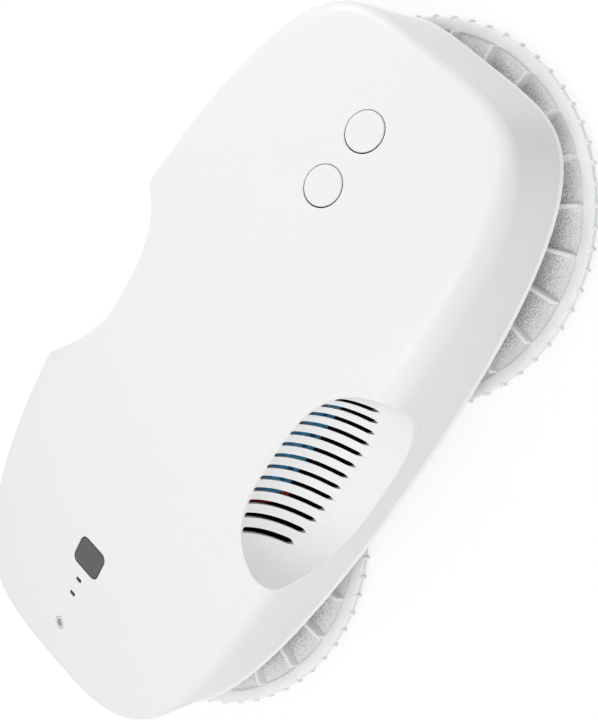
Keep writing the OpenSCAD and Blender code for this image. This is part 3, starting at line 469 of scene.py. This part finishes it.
# Moulded skin: slow drift of tone where the plastic flowed, fine spark-eroded grain of the
# mould, and small rubbed patches that are a little smoother
moulded, take, give = group_of("moulded_skin", [
    ("Colour", COLOUR, (0.8, 0.8, 0.8, 1)),
    ("Drift", NUMBER, 0.03),
    ("Specks", NUMBER, 0.0),
    ("Grain", NUMBER, 2600.0),
    ("Roughness", NUMBER, 0.4),
], [("Colour", COLOUR), ("Roughness", NUMBER), ("Height", NUMBER)])
where = added(moulded, "TexCoord").outputs["Object"]
flow = added(moulded, "TexNoise", {"Vector": where}, Scale=22.0, Detail=3.0).outputs["Fac"]
rub = added(moulded, "TexNoise", {"Vector": where}, Scale=160.0, Detail=4.0).outputs["Fac"]
grain = added(moulded, "TexNoise", {"Vector": where, "Scale": take["Grain"]}, Detail=2.0)
dark = number(moulded, "MULTIPLY", number(moulded, "SUBTRACT", flow, 0.35), take["Drift"])
speck = number(moulded, "MULTIPLY", number(moulded, "GREATER_THAN", grain.outputs["Fac"], 0.6),
               take["Specks"])
shade = number(moulded, "SUBTRACT", 1.0, number(moulded, "ADD", dark, speck))
moulded.links.new(blended(moulded, 1.0, take["Colour"], added(
    moulded, "CombineColor", {"Red": shade, "Green": shade, "Blue": shade}).outputs[0],
    "MULTIPLY"), give["Colour"])
moulded.links.new(number(moulded, "ADD", take["Roughness"], number(
    moulded, "MULTIPLY", number(moulded, "SUBTRACT", rub, 0.5), 0.16)), give["Roughness"])
moulded.links.new(grain.outputs["Fac"], give["Height"])


def plastic(name, colour, roughness, drift=0.03, specks=0.0, grain=2600.0, depth=0.00002,
            gloss=0.5):
    made = bpy.data.materials.new(name)
    made.use_nodes = True
    tree = made.node_tree
    body = tree.nodes["Principled BSDF"]
    skin = tree.nodes.new("ShaderNodeGroup")
    skin.node_tree = moulded
    skin.inputs["Colour"].default_value = (*colour, 1)
    skin.inputs["Drift"].default_value = drift
    skin.inputs["Specks"].default_value = specks
    skin.inputs["Grain"].default_value = grain
    skin.inputs["Roughness"].default_value = roughness
    bump = added(tree, "Bump", {"Height": skin.outputs["Height"]}, Strength=0.5)
    bump.inputs["Distance"].default_value = depth
    tree.links.new(skin.outputs["Colour"], body.inputs["Base Color"])
    tree.links.new(skin.outputs["Roughness"], body.inputs["Roughness"])
    tree.links.new(bump.outputs[0], body.inputs["Normal"])
    body.inputs["Specular IOR Level"].default_value = gloss
    return made


def given(made, material, body, slot, *nodes):
    made.data.materials.clear()
    made.data.materials.append(material)
    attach(made, body)
    if nodes:
        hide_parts(*nodes)
    return made


def refinished(material, *names):
    for name in names:
        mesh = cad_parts[name].data
        if len(mesh.materials):
            mesh.materials[0] = material
        else:
            mesh.materials.append(material)


shell_white = plastic("shell_white", (0.86, 0.86, 0.865), 0.42, depth=0.000008)
given(shell, shell_white, "chassis", "shell_white", "top_shell")


# Painted shade: black put on the inside faces, so that only darkness shows in the slots
painted_shade_material = plastic("painted_shade_black", (0.006, 0.006, 0.006), 0.95, 0.4, 0.2, 900.0, 0.0002, 0.05)


def painted_shade_faces(made, inside):
    made.data.materials.append(painted_shade_material)
    for p in made.data.polygons:
        if inside(p):
            p.material_index = 1


outside = BVHTree.FromPolygons([v.co for v in form.data.vertices],
                               [p.vertices for p in form.data.polygons])
# The shell's inside faces, away from its outer form, take the painted shade black.
painted_shade_faces(shell, lambda p: outside.find_nearest(p.center)[3] > 0.0007)

# Grilles: the scoops' walls, moulded apart in the same white ABS and snapped in flush. Each
# has thirteen slots that narrow to a shallow run-out at their lower ends.
SLOT_X = [5 * (i - 6) for i in range(13)]
SLOT_HALF = 0.82
SLOT_TAPER = 2.6
SLOT_RUN_OUT = 2.8


def slot_tool(side, deck, x):
    share = scoop_depth(x - SCOOP_X)
    line = SCOOP_EYE + share * (scoop_curve(deck, 0, 4)[3:] - SCOOP_EYE)
    steps = np.hypot(*np.diff(line, axis=0).T)
    run = np.concatenate([[0], np.cumsum(steps)])
    drop = crown(x, line[0][0]) - line[:, 1]
    start = np.interp(1.0, drop, run)
    end = np.interp(57.0, line[:, 0], run)
    rings = []
    for s in np.concatenate([start + SLOT_HALF * (1 - np.cos(np.linspace(0.25, 1.57, 6))),
                             np.linspace(start + 1.2, end - SLOT_TAPER, 20)[1:],
                             end - SLOT_TAPER + np.linspace(0, SLOT_TAPER, 7)[1:],
                             end + np.linspace(0, SLOT_RUN_OUT, 5)[1:]]):
        y, z = np.interp(s, run, line[:, 0]), np.interp(s, run, line[:, 1])
        y2, z2 = np.interp(s + 0.3, run, line[:, 0]), np.interp(s + 0.3, run, line[:, 1])
        along = np.array([y2 - y, z2 - z]) / math.hypot(y2 - y, z2 - z)
        inward = np.array([along[1], -along[0]])
        half = SLOT_HALF * math.sqrt(max(1 - max(1 - (s - start) / SLOT_HALF, 0) ** 2, 0.02))
        half *= 1 - 0.72 * min(max((s - end + SLOT_TAPER) / SLOT_TAPER, 0), 1) ** 2
        deep = 0.3 * (1.02 - (s - end) / SLOT_RUN_OUT)
        if s < end - 0.2:
            deep = 5.5 if abs(x) > 27 else 3.4
        wide = half + 0.45 * deep * min(half / SLOT_HALF, 1)
        rings.append([(x + u, side * (y + v * inward[0]), z + v * inward[1]) for u, v in (
            (-half, -1.2), (-half, 0), (-wide, deep), (wide, deep), (half, 0), (half, -1.2))])
    return skinned("slot", rings)


def grille(name, side, deck, node):
    made = scoop_solid(name, side, deck, WALL)
    carve(made, form, "INTERSECT", keep=True)
    bowl = scoop_solid("bowl", side, deck, 0)
    carve(made, bowl, keep=True)
    for x in SLOT_X:
        carve(made, slot_tool(side, deck, x))
    shade_from(made, bowl, form)
    bpy.data.objects.remove(bowl)
    return given(made, shell_white, "chassis", "shell_white", node)


grille("grille_front", -1, FRONT_DECK, "front_grille")
grille("grille_rear", 1, REAR_DECK, "rear_grille")
bpy.data.objects.remove(form)

# Base tray: white ABS tub that the works are screwed to. Its edge shows as a thin band under
# the shell, flared towards the shell, with a small round at each of its two edges.
FLOOR_Z = 24.5
BAND_TOP = 26.3


def plan_prism(name, inset, low, high, count=400):
    plan = lower_plan(even_turns(count), inset)
    return skinned(name, [lifted(plan, low), lifted(plan, high)])


turn = even_turns(400)
band = [lifted(lower_plan(turn, 0.35), FLOOR_Z)]
for a in np.radians(np.linspace(0, 90, 4)):
    band.append(lifted(lower_plan(turn, 0.3 * (1 - math.sin(a))), FLOOR_Z + 0.3 * (1 - math.cos(a))))
for a in np.radians(np.linspace(0, 90, 4)):
    band.append(lifted(lower_plan(turn, 0.5 + 0.3 * (1 - math.cos(a))),
                       BAND_TOP - 0.3 * (1 - math.sin(a))))
tray = skinned("tray", band)
lip = plan_prism("lip", 2.9, FLOOR_Z + 0.1, 30.0)
carve(lip, plan_prism("lip_room", 4.5, 20, 40))
carve(tray, lip, "UNION")
carve(tray, plan_prism("floor", 2.9, FLOOR_Z + 0.05, 26.5), "UNION")
DISC_X = 75.3
for x in (-DISC_X, DISC_X):
    carve(tray, turned("boss", [(0, 14), (19.4, 14), (20, 14.6), (20, 28.9), (19.4, 29.5), (0, 29.5)],
                       (x, 0)), "UNION")
    carve(tray, turned("bore", [(0, 10), (12, 10), (12, 15.5), (16.05, 15.5), (16.05, 35), (0, 35)],
                       (x, 0)))
POSTS = [(-117, -13), (-117, 35), (-51, 35), (111.5, 0)]
for place in POSTS:
    carve(tray, turned("post", [(0, 24.6), (3.5, 24.6), (3.5, 54), (0, 54)], place, 40), "UNION")
    carve(tray, turned("pilot", [(0, 26.5), (1.3, 26.5), (1.3, 60), (0, 60)], place, 24))
for tower in TOWERS:
    carve(tray, turned("screw_hole", [(0, 20), (1.7, 20), (1.7, 26.5), (3.7, 26.5), (3.7, 40), (0, 40)],
                       tower, 40))
tray_white = plastic("tray_white", (0.93, 0.93, 0.935), 0.3, depth=0.000008)
given(smoothed(tray), tray_white, "chassis", "shell_white", "base_tray")
# The tray's faces above its band, inside the case, take the painted shade black.
painted_shade_faces(tray, lambda p: p.center.z > 0.0264)

# Gasket: a grey foam cord that is pressed between tray and shell.
gasket_grey = plastic("gasket_grey", (0.22, 0.22, 0.23), 0.85, 0.2, 0.1, 900.0, 0.0001, 0.2)
refinished(gasket_grey, "shell_gasket")

# Round keys: white ABS caps with softly rounded edges, flush with the crown in two round
# holes. A flange under the shell holds each key, its stem presses a switch, and the cap sits
# at one side of its play, so that the ring gap is wider on the near side.
key_white = plastic("key_white", (0.86, 0.86, 0.865), 0.33, depth=0.000008)
KEY_PLAY = (0.05, 0.16)
KEY_EDGE_R = 0.55
STEM_LOW = 60.6


def stem(x, top):
    return turned("stem", [(0, STEM_LOW), (2, STEM_LOW), (2, top), (0, top)], (x, 0), 32)


def key_cap(name, x, body, node):
    flange = crown(x, 0, WALL) - 4.0

    def cap(grow):
        return round_outline(x, KEY_R)(grow) + KEY_PLAY

    rings = [lifted(round_outline(x, 8.6)(0), flange), lifted(round_outline(x, 8.6)(0), flange + 1.2),
             lifted(cap(0), flange + 1.2)]
    for a in np.radians(np.linspace(0, 90, 7)):
        plan = cap(-KEY_EDGE_R * (1 - math.cos(a)))
        rings.append(lifted(plan, crown(*plan.T) - KEY_EDGE_R * (1 - math.sin(a))))
    for grow in (-1.6, -3.4, -5.4):
        plan = cap(grow)
        rings.append(lifted(plan, crown(*plan.T)))
    made = skinned(name, rings, high_tip=(x, 0, crown(x, 0)))
    carve(made, stem(x, flange + 0.5), "UNION")
    given(smoothed(made), key_white, body, "key_white", node)
    # Painted shade: the key's sides, flange and stem below its rounded edge take black, so that the
    # ring gap reads dark.
    painted_shade_faces(made, lambda p: p.center.z * 1000 < crown(*p.center.xy * 1000) - 0.62)


key_cap("key_inner", INNER_KEY_X, "inner_key_unit", "inner_key")
key_cap("key_outer", OUTER_KEY_X, "outer_key_unit", "outer_key")

# Power button: a dark grey square cap with rounded corners, in the same arrangement.
button_grey = plastic("button_grey", (0.085, 0.088, 0.092), 0.42, 0.25, 0.0, 2200.0, 0.00002)
BUTTON_EDGE_R = 0.6
BUTTON_DISH = 0.12
flange = crown(BUTTON_X, 0, WALL) - 4.0
button = square_outline(BUTTON_X, 5.65, 6.7, 2.5)
rings = [lifted(button(1.4), flange), lifted(button(1.4), flange + 1.2),
         lifted(button(0), flange + 1.2)]
for a in np.radians(np.linspace(0, 90, 7)):
    plan = button(-BUTTON_EDGE_R * (1 - math.cos(a)))
    rings.append(lifted(plan, crown(*plan.T) - BUTTON_EDGE_R * (1 - math.sin(a))))
for s in (0.8, 0.55, 0.28):
    plan = (button(-BUTTON_EDGE_R) - (BUTTON_X, 0)) * s + (BUTTON_X, 0)
    rings.append(lifted(plan, crown(*plan.T) - BUTTON_DISH * (1 - s ** 2)))
power = skinned("power_cap", rings, high_tip=(BUTTON_X, 0, crown(BUTTON_X, 0) - BUTTON_DISH))
carve(power, stem(BUTTON_X, flange + 0.5), "UNION")
given(smoothed(power), button_grey, "power_key", "button_grey", "power_button")

# Status lens: a small clear-grey dome in a white ring, pushed into its hole from outside.
lens_grey = plastic("lens_grey", (0.3, 0.31, 0.32), 0.15, 0.1, 0.0, 1500.0, 0.000005, 0.6)
lens = turned("lens", [(0, -12), (1.4, -12), (1.4, -2.6), (2.25, -2.6), (2.25, -0.35), (2.12, -0.05),
                       (1.9, 0.0), (1.62, -0.05), (1.5, -0.45), (1.4, -0.4), (1.25, -0.12),
                       (0.8, 0.06), (0, 0.12)], (LENS_X, 0), 64, crowned=True)
given(smoothed(lens, 50), lens_grey, "chassis", "lens_grey", "status_lens")
lens.data.materials.append(shell_white)
for p in lens.data.polygons:
    middle = p.center * 1000
    if 1.5 < math.hypot(middle.x - LENS_X, middle.y) and middle.z > 66:
        p.material_index = 1

# Discs: two turning plates in white nylon. Each has a stiff raised rim with small nubs that
# feel for a window's frame, and ribs that run in under the case.
disc_white = plastic("disc_white", (0.92, 0.92, 0.925), 0.42, 0.04, 0.05, 1500.0, 0.00005)


# Painted shade: the plates are stippled with grey, closest near the hub and not at all by the rim,
# standing for the shade that the case casts on them.
tree = disc_white.node_tree
skin = next(n for n in tree.nodes if n.type == "GROUP")
where = added(tree, "TexCoord").outputs["Object"]
place = added(tree, "SeparateXYZ", {"Vector": where}).outputs
off = number(tree, "SUBTRACT", number(tree, "ABSOLUTE", place["X"], 0.0), DISC_X / 1000)
reach = number(tree, "SQRT", number(tree, "ADD", number(tree, "MULTIPLY", off, off), number(
    tree, "MULTIPLY", place["Y"], place["Y"])), 0.0)
level = added(tree, "MapRange", {"Value": reach})
for key, value in (("From Min", 0.05), ("From Max", 0.0665), ("To Min", 0.3), ("To Max", 0.66)):
    level.inputs[key].default_value = value
painted_shade_dots = added(tree, "TexNoise", {"Vector": where}, Scale=2300.0, Detail=2.0).outputs["Fac"]
painted_shade_dots = number(tree, "MULTIPLY", number(tree, "GREATER_THAN", painted_shade_dots, level.outputs["Result"]),
              number(tree, "LESS_THAN", place["Z"], 0.0078))
tree.links.new(blended(tree, number(tree, "MULTIPLY", painted_shade_dots, 0.62), skin.outputs["Colour"],
                       (0.25, 0.25, 0.26, 1)),
               tree.nodes["Principled BSDF"].inputs["Base Color"])


def rounded_bar(name, x0, x1, half, low, high, r=0.45):
    rings = []
    for inset, z in ((0, low), (0, high - r), (0.12 * r, high - 0.6 * r), (0.4 * r, high - 0.25 * r),
                     (r, high)):
        plan = rounded_plan((x1 - x0) / 2 - inset, half - inset, max(half - inset - 0.05, 0.1), 5)
        rings.append(lifted(plan + ((x0 + x1) / 2, 0), z))
    return skinned(name, rings)


def spun(made, turn, x):
    c, s = math.cos(turn), math.sin(turn)
    points = np.array([v.co for v in made.data.vertices])
    points = np.column_stack([c * points[:, 0] - s * points[:, 1] + x / 1000,
                              s * points[:, 0] + c * points[:, 1], points[:, 2]])
    made.data.vertices.foreach_set("co", points.ravel())
    made.data.update()
    return made


def joined(name, parts):
    shape = bmesh.new()
    for part in parts:
        shape.from_mesh(part.data)
        bpy.data.objects.remove(part)
    mesh = bpy.data.meshes.new(name)
    shape.to_mesh(mesh)
    shape.free()
    made = bpy.data.objects.new(name, mesh)
    bpy.context.scene.collection.objects.link(made)
    return made


def disc(name, x, rest, body, node):
    profile = [(5, 5), (66.6, 5), (66.8, 5.5), (70.9, 5.5), (71.4, 5.75), (71.6, 6.3), (71.6, 7.7),
               (71.35, 8.25), (70.8, 8.5), (67.6, 8.5), (67.1, 8.35), (66.8, 7.9), (66.6, 7.62),
               (66.2, 7.5), (5, 7.5), (5, 5)]
    made = turned(name, profile, count=240)
    nubs = joined("nubs", [
        spun(rounded_bar("nub", 70.6, 72.4, 0.8, 5.5, 8.5, 0.3), math.radians(6 * i), 0)
        for i in range(60)])
    ribs = joined("ribs", [
        spun(rounded_bar("rib", 26, 66.95, 0.75, 7.0, 12.5), math.radians(15 * i), 0)
        for i in range(24)])
    carve(made, nubs, "UNION")
    carve(made, ribs, "UNION")
    for i in range(4):
        hole = turned("hole", [(0, 0), (1.7, 0), (1.7, 20), (0, 20)],
                      (17 * math.cos(i * math.pi / 2), 17 * math.sin(i * math.pi / 2)), 32)
        carve(made, hole)
    return given(smoothed(spun(made, math.radians(rest), x)), disc_white, body, "disc_white", node)


disc("disc_left", -DISC_X, 0.5, "left_disc_unit", "left_disc")
disc("disc_right", DISC_X, 8.1, "right_disc_unit", "right_disc")

# Pads: washable microfibre cloth over a thin foam, cut to a ring, held by hook fabric under
# the disc, and overlocked with white thread round its outer and inner edges.
pile, take, give = group_of("cloth_pile", [
    ("Colour", COLOUR, (0.7, 0.7, 0.7, 1)),
    ("Tufts", NUMBER, 700.0),
], [("Colour", COLOUR), ("Roughness", NUMBER), ("Height", NUMBER)])
where = added(pile, "TexCoord").outputs["Object"]
tuft = added(pile, "TexVoronoi", {"Vector": where, "Scale": take["Tufts"]})
fibre = added(pile, "TexNoise", {"Vector": where}, Scale=3800.0, Detail=4.0).outputs["Fac"]
soil = added(pile, "TexNoise", {"Vector": where}, Scale=45.0, Detail=4.0).outputs["Fac"]
hill = number(pile, "SUBTRACT", 1.0, tuft.outputs["Distance"])
hill = number(pile, "ADD", number(pile, "MULTIPLY", hill, 0.7), number(pile, "MULTIPLY", fibre, 0.5))
# Painted shade: the colour is lighter on the tufts' tops and darker between them, with random fibre
# tone mixed in.
tone = number(pile, "ADD", 0.62, number(pile, "MULTIPLY", hill, 0.36))
tone = number(pile, "SUBTRACT", tone, number(pile, "MULTIPLY", soil, 0.1))
pile.links.new(blended(pile, 1.0, take["Colour"], added(
    pile, "CombineColor", {"Red": tone, "Green": tone, "Blue": tone}).outputs[0], "MULTIPLY"),
    give["Colour"])
pile.links.new(number(pile, "ADD", 0.85, number(pile, "MULTIPLY", fibre, 0.15)), give["Roughness"])
pile.links.new(hill, give["Height"])


def cloth(name, colour, tufts, depth):
    made = bpy.data.materials.new(name)
    made.use_nodes = True
    tree = made.node_tree
    body = tree.nodes["Principled BSDF"]
    weave = tree.nodes.new("ShaderNodeGroup")
    weave.node_tree = pile
    weave.inputs["Colour"].default_value = (*colour, 1)
    weave.inputs["Tufts"].default_value = tufts
    bump = added(tree, "Bump", {"Height": weave.outputs["Height"]}, Strength=0.9)
    bump.inputs["Distance"].default_value = depth
    tree.links.new(weave.outputs["Colour"], body.inputs["Base Color"])
    tree.links.new(weave.outputs["Roughness"], body.inputs["Roughness"])
    tree.links.new(bump.outputs[0], body.inputs["Normal"])
    body.inputs["Sheen Weight"].default_value = 0.3
    body.inputs["Specular IOR Level"].default_value = 0.1
    return made


pad_cloth = cloth("pad_fabric", (0.8, 0.81, 0.83), 700.0, 0.0006)
thread_white = cloth("pad_thread", (0.72, 0.74, 0.78), 3000.0, 0.0001)


def puffed(made, cap, frames=20):
    rest = np.array([v.co for v in made.data.vertices])
    held = made.vertex_groups.new(name="held")
    r = np.hypot(rest[:, 0] - rest[:, 0].mean(), rest[:, 1])
    for k in range(len(rest)):
        if rest[k, 2] > 0.0042 or r[k] > 0.0655 or r[k] < 0.025:
            held.add([k], 1.0, "REPLACE")
    fold = made.modifiers.new("fold", "CLOTH")
    fold.settings.vertex_group_mass = "held"
    fold.settings.use_pressure = True
    fold.settings.uniform_pressure_force = 4
    fold.settings.effector_weights.gravity = 0
    fold.settings.quality = 4
    for f in range(1, frames + 1):
        bpy.context.scene.frame_set(f)
    moved = made.evaluated_get(bpy.context.evaluated_depsgraph_get()).to_mesh()
    went = np.array([v.co for v in moved.vertices]) - rest
    made.modifiers.clear()
    made.vertex_groups.clear()
    bpy.context.scene.frame_set(1)
    far = np.linalg.norm(went, axis=1, keepdims=True)
    went *= np.minimum(1, cap / np.maximum(far, 1e-9))
    made.data.vertices.foreach_set("co", (rest + went).ravel())
    made.data.update()
    return made


def overlocked(name, x, r, z, reach, turns):
    steps = turns * 10
    a = np.arange(steps) * 2 * math.pi / steps
    b = a * turns
    line = np.stack([(r + reach[0] * np.cos(b)) * np.cos(a + 0.004 * np.sin(b)),
                     (r + reach[0] * np.cos(b)) * np.sin(a + 0.004 * np.sin(b)),
                     z + reach[1] * np.sin(b)], 1)
    along = np.roll(line, -1, 0) - np.roll(line, 1, 0)
    along /= np.linalg.norm(along, axis=1)[:, None]
    out = np.stack([np.cos(a) * np.cos(b), np.sin(a) * np.cos(b), np.sin(b)], 1)
    out -= (out * along).sum(1)[:, None] * along
    out /= np.linalg.norm(out, axis=1)[:, None]
    over = np.cross(along, out)
    rings = [line + 0.28 * (math.cos(t) * out + math.sin(t) * over) + (x, 0, 0)
             for t in np.arange(5) * 2 * math.pi / 5]
    rings = np.stack(rings, 1)
    return skinned(name, rings, joined=True)


def pad(name, x, body, node):
    profile = [(24.9, 0.9), (25.4, 0.35), (27, 0.1), (62.6, 0.1), (64.6, 0.35), (65.4, 1.2),
               (65.4, 3.8),
               (64.8, 4.6), (63.8, 4.8), (26.6, 4.8), (25.5, 4.6), (24.9, 3.8), (24.9, 0.9)]
    made = turned(name, profile, (x, 0), 160)
    remesh = made.modifiers.new("remesh", "REMESH")
    remesh.mode = "VOXEL"
    remesh.voxel_size = 0.0017
    applied(made)
    puffed(made, 0.0007)
    points = np.array([v.co for v in made.data.vertices]) * 1000
    r = np.hypot(points[:, 0] - x, points[:, 1])
    quilt = 0.28 * np.exp(-((r - 61.2) / 0.7) ** 2) + 0.28 * np.exp(-((r - 29.2) / 0.7) ** 2)
    points[:, 2] = np.where(points[:, 2] < 2.5, np.maximum(points[:, 2], 0.05) + quilt,
                            np.minimum(points[:, 2], 4.95))
    made.data.vertices.foreach_set("co", (points / 1000).ravel())
    made.data.update()
    finer = made.modifiers.new("finer", "SUBSURF")
    finer.levels = 1
    applied(made)
    given(smoothed(made, 60), pad_cloth, body, "pad_fabric", node)
    for edge, r, reach, turns in (("outer", 64.6, 1.5, 150), ("inner", 25.7, 1.3, 60)):
        seam = overlocked(name + "_thread_" + edge, x, r, 2.5, (reach, 2.15), turns)
        given(smoothed(seam, 80), thread_white, body, "pad_fabric")


pad("pad_left", -DISC_X, "left_disc_unit", "left_pad")
pad("pad_right", DISC_X, "right_disc_unit", "right_pad")

# Small black mouldings: the light windows, the power inlet and the switches' plungers.
black_plastic = plastic("black_plastic", (0.012, 0.012, 0.013), 0.35, 0.3, 0.0, 2400.0, 0.00001)
refinished(black_plastic, "light_pipes", "power_inlet", "power_plunger", "inner_plunger",
           "outer_plunger")

# Seals of the hollow spindles: soft black rubber rings that drag on the turning tubes.
seal_rubber = plastic("seal_rubber", (0.02, 0.02, 0.02), 0.75, 0.3, 0.05, 1200.0, 0.00004, 0.3)
refinished(seal_rubber, "spindle_seals")

# Metal parts: turned, drawn or pressed, so that their finish runs one way. The rings round an
# axis and the lines along one come from the same noise, drawn out.
drawn, take, give = group_of("drawn_metal", [
    ("Colour", COLOUR, (0.6, 0.6, 0.6, 1)),
    ("Stretch", "NodeSocketVector", (60, 60, 1800)),
    ("Roughness", NUMBER, 0.3),
], [("Colour", COLOUR), ("Roughness", NUMBER), ("Height", NUMBER)])
where = added(drawn, "TexCoord").outputs["Object"]
stretched = added(drawn, "VectorMath", {0: where, 1: take["Stretch"]}, operation="MULTIPLY")
lines = added(drawn, "TexNoise", {"Vector": stretched.outputs[0]}, Scale=1.0, Detail=3.0)
stain = added(drawn, "TexNoise", {"Vector": where}, Scale=120.0, Detail=4.0).outputs["Fac"]
tone = number(drawn, "ADD", 0.82, number(drawn, "MULTIPLY", lines.outputs["Fac"], 0.3))
tone = number(drawn, "SUBTRACT", tone, number(drawn, "MULTIPLY", stain, 0.08))
drawn.links.new(blended(drawn, 1.0, take["Colour"], added(
    drawn, "CombineColor", {"Red": tone, "Green": tone, "Blue": tone}).outputs[0], "MULTIPLY"),
    give["Colour"])
drawn.links.new(number(drawn, "ADD", take["Roughness"], number(
    drawn, "MULTIPLY", lines.outputs["Fac"], 0.18)), give["Roughness"])
drawn.links.new(lines.outputs["Fac"], give["Height"])


def metal(name, colour, roughness, stretch=(60, 60, 1800), depth=0.000008):
    made = bpy.data.materials.new(name)
    made.use_nodes = True
    tree = made.node_tree
    body = tree.nodes["Principled BSDF"]
    finish = tree.nodes.new("ShaderNodeGroup")
    finish.node_tree = drawn
    finish.inputs["Colour"].default_value = (*colour, 1)
    finish.inputs["Stretch"].default_value = stretch
    finish.inputs["Roughness"].default_value = roughness
    bump = added(tree, "Bump", {"Height": finish.outputs["Height"]}, Strength=0.4)
    bump.inputs["Distance"].default_value = depth
    tree.links.new(finish.outputs["Colour"], body.inputs["Base Color"])
    tree.links.new(finish.outputs["Roughness"], body.inputs["Roughness"])
    tree.links.new(bump.outputs[0], body.inputs["Normal"])
    body.inputs["Metallic"].default_value = 1
    return made


# Screws: zinc-plated steel, pan heads, for the case, the boards and the discs.
screw_steel = metal("screw_steel", (0.62, 0.62, 0.6), 0.28, (700, 700, 700))
refinished(screw_steel, "case_screws", "board_screws", "left_disc_screws", "right_disc_screws",
           "rope_lug")

# Spindles: turned aluminium tubes that carry the discs and the suction through them.
spindle_aluminium = metal("spindle_aluminium", (0.78, 0.78, 0.79), 0.25)
refinished(spindle_aluminium, "left_spindle", "right_spindle")

# Bearings and clips: ground steel rings pressed into the tray's bosses, and spring clips.
bearing_steel = metal("bearing_steel", (0.5, 0.51, 0.53), 0.16, (90, 90, 2600))
refinished(bearing_steel, "left_bearings", "right_bearings", "left_clip", "right_clip",
           "left_motor_shaft", "right_motor_shaft", "fan_shaft")

# Motors: drawn steel cans, nickel plated, screwed on the gear covers and the fan's lid.
motor_steel = metal("motor_steel", (0.66, 0.65, 0.63), 0.3, (140, 140, 900))
refinished(motor_steel, "left_motor", "right_motor", "fan_motor")

# Gears: moulded acetal, slightly waxy, one on each spindle and a pinion on each motor.
gear_plastic = plastic("gear_plastic", (0.74, 0.7, 0.6), 0.38, 0.1, 0.0, 1800.0, 0.00001)
refinished(gear_plastic, "left_gear", "right_gear", "left_pinion", "right_pinion")

# Gear covers, suction duct and battery cradle: plain black mouldings inside the case.
cover_plastic = plastic("cover_plastic", (0.03, 0.03, 0.032), 0.5, 0.3, 0.05, 1300.0, 0.00003)
refinished(cover_plastic, "left_gear_cover", "right_gear_cover")
duct_plastic = plastic("duct_plastic", (0.06, 0.06, 0.063), 0.55, 0.3, 0.05, 1300.0, 0.00003)
refinished(duct_plastic, "suction_duct", "battery_cradle")

# Fan: blue housing and lid, moulded in one colour, with a pale impeller inside.
fan_blue = plastic("fan_blue", (0.13, 0.55, 0.93), 0.35, 0.2, 0.0, 2000.0, 0.00001)
refinished(fan_blue, "fan_housing", "fan_lid")
fan_pale = plastic("fan_pale", (0.62, 0.62, 0.62), 0.4, 0.1, 0.0, 2000.0, 0.00001)
refinished(fan_pale, "fan_impeller")

# Circuit boards: glass-fibre sheet with green solder mask, and copper tracks under it that
# show as a slightly lighter pattern of straight lines.
board_green = bpy.data.materials.new("board_green")
board_green.use_nodes = True
tree = board_green.node_tree
body = tree.nodes["Principled BSDF"]
where = added(tree, "TexCoord").outputs["Object"]
tracks = added(tree, "TexBrick", {"Vector": where}, Scale=170.0, Mortar_Size=0.035,
               Color1=(0.0, 0.0, 0.0, 1), Color2=(0.3, 0.3, 0.3, 1), Mortar=(1, 1, 1, 1))
cloudy = added(tree, "TexNoise", {"Vector": where}, Scale=90.0, Detail=4.0).outputs["Fac"]
tree.links.new(blended(tree, tracks.outputs["Color"], (0.01, 0.09, 0.035, 1), (0.03, 0.2, 0.07, 1)),
               body.inputs["Base Color"])
tree.links.new(number(tree, "ADD", 0.22, number(tree, "MULTIPLY", cloudy, 0.2)),
               body.inputs["Roughness"])
lift = added(tree, "Bump", {"Height": tracks.outputs["Fac"]}, Strength=0.5)
lift.inputs["Distance"].default_value = 0.00003
tree.links.new(lift.outputs[0], body.inputs["Normal"])
refinished(board_green, "main_board", "key_board")

# Parts on the boards: black moulded epoxy, and the tact switches under the keys.
chip_black = plastic("chip_black", (0.02, 0.02, 0.022), 0.55, 0.4, 0.15, 1600.0, 0.00003)
refinished(chip_black, "board_parts", "tact_switches")

# Battery cells: steel cans in shrunk blue sleeve, which is glossy and slightly wavy.
cell_blue = plastic("cell_blue", (0.03, 0.12, 0.42), 0.22, 0.2, 0.0, 260.0, 0.00012)
refinished(cell_blue, "battery_cells")

# Battery leads: two red silicone wires from the cells to the main board.
lead_red = plastic("lead_red", (0.68, 0.02, 0.015), 0.4, 0.15, 0.0, 1500.0, 0.00001)
refinished(lead_red, "battery_leads")
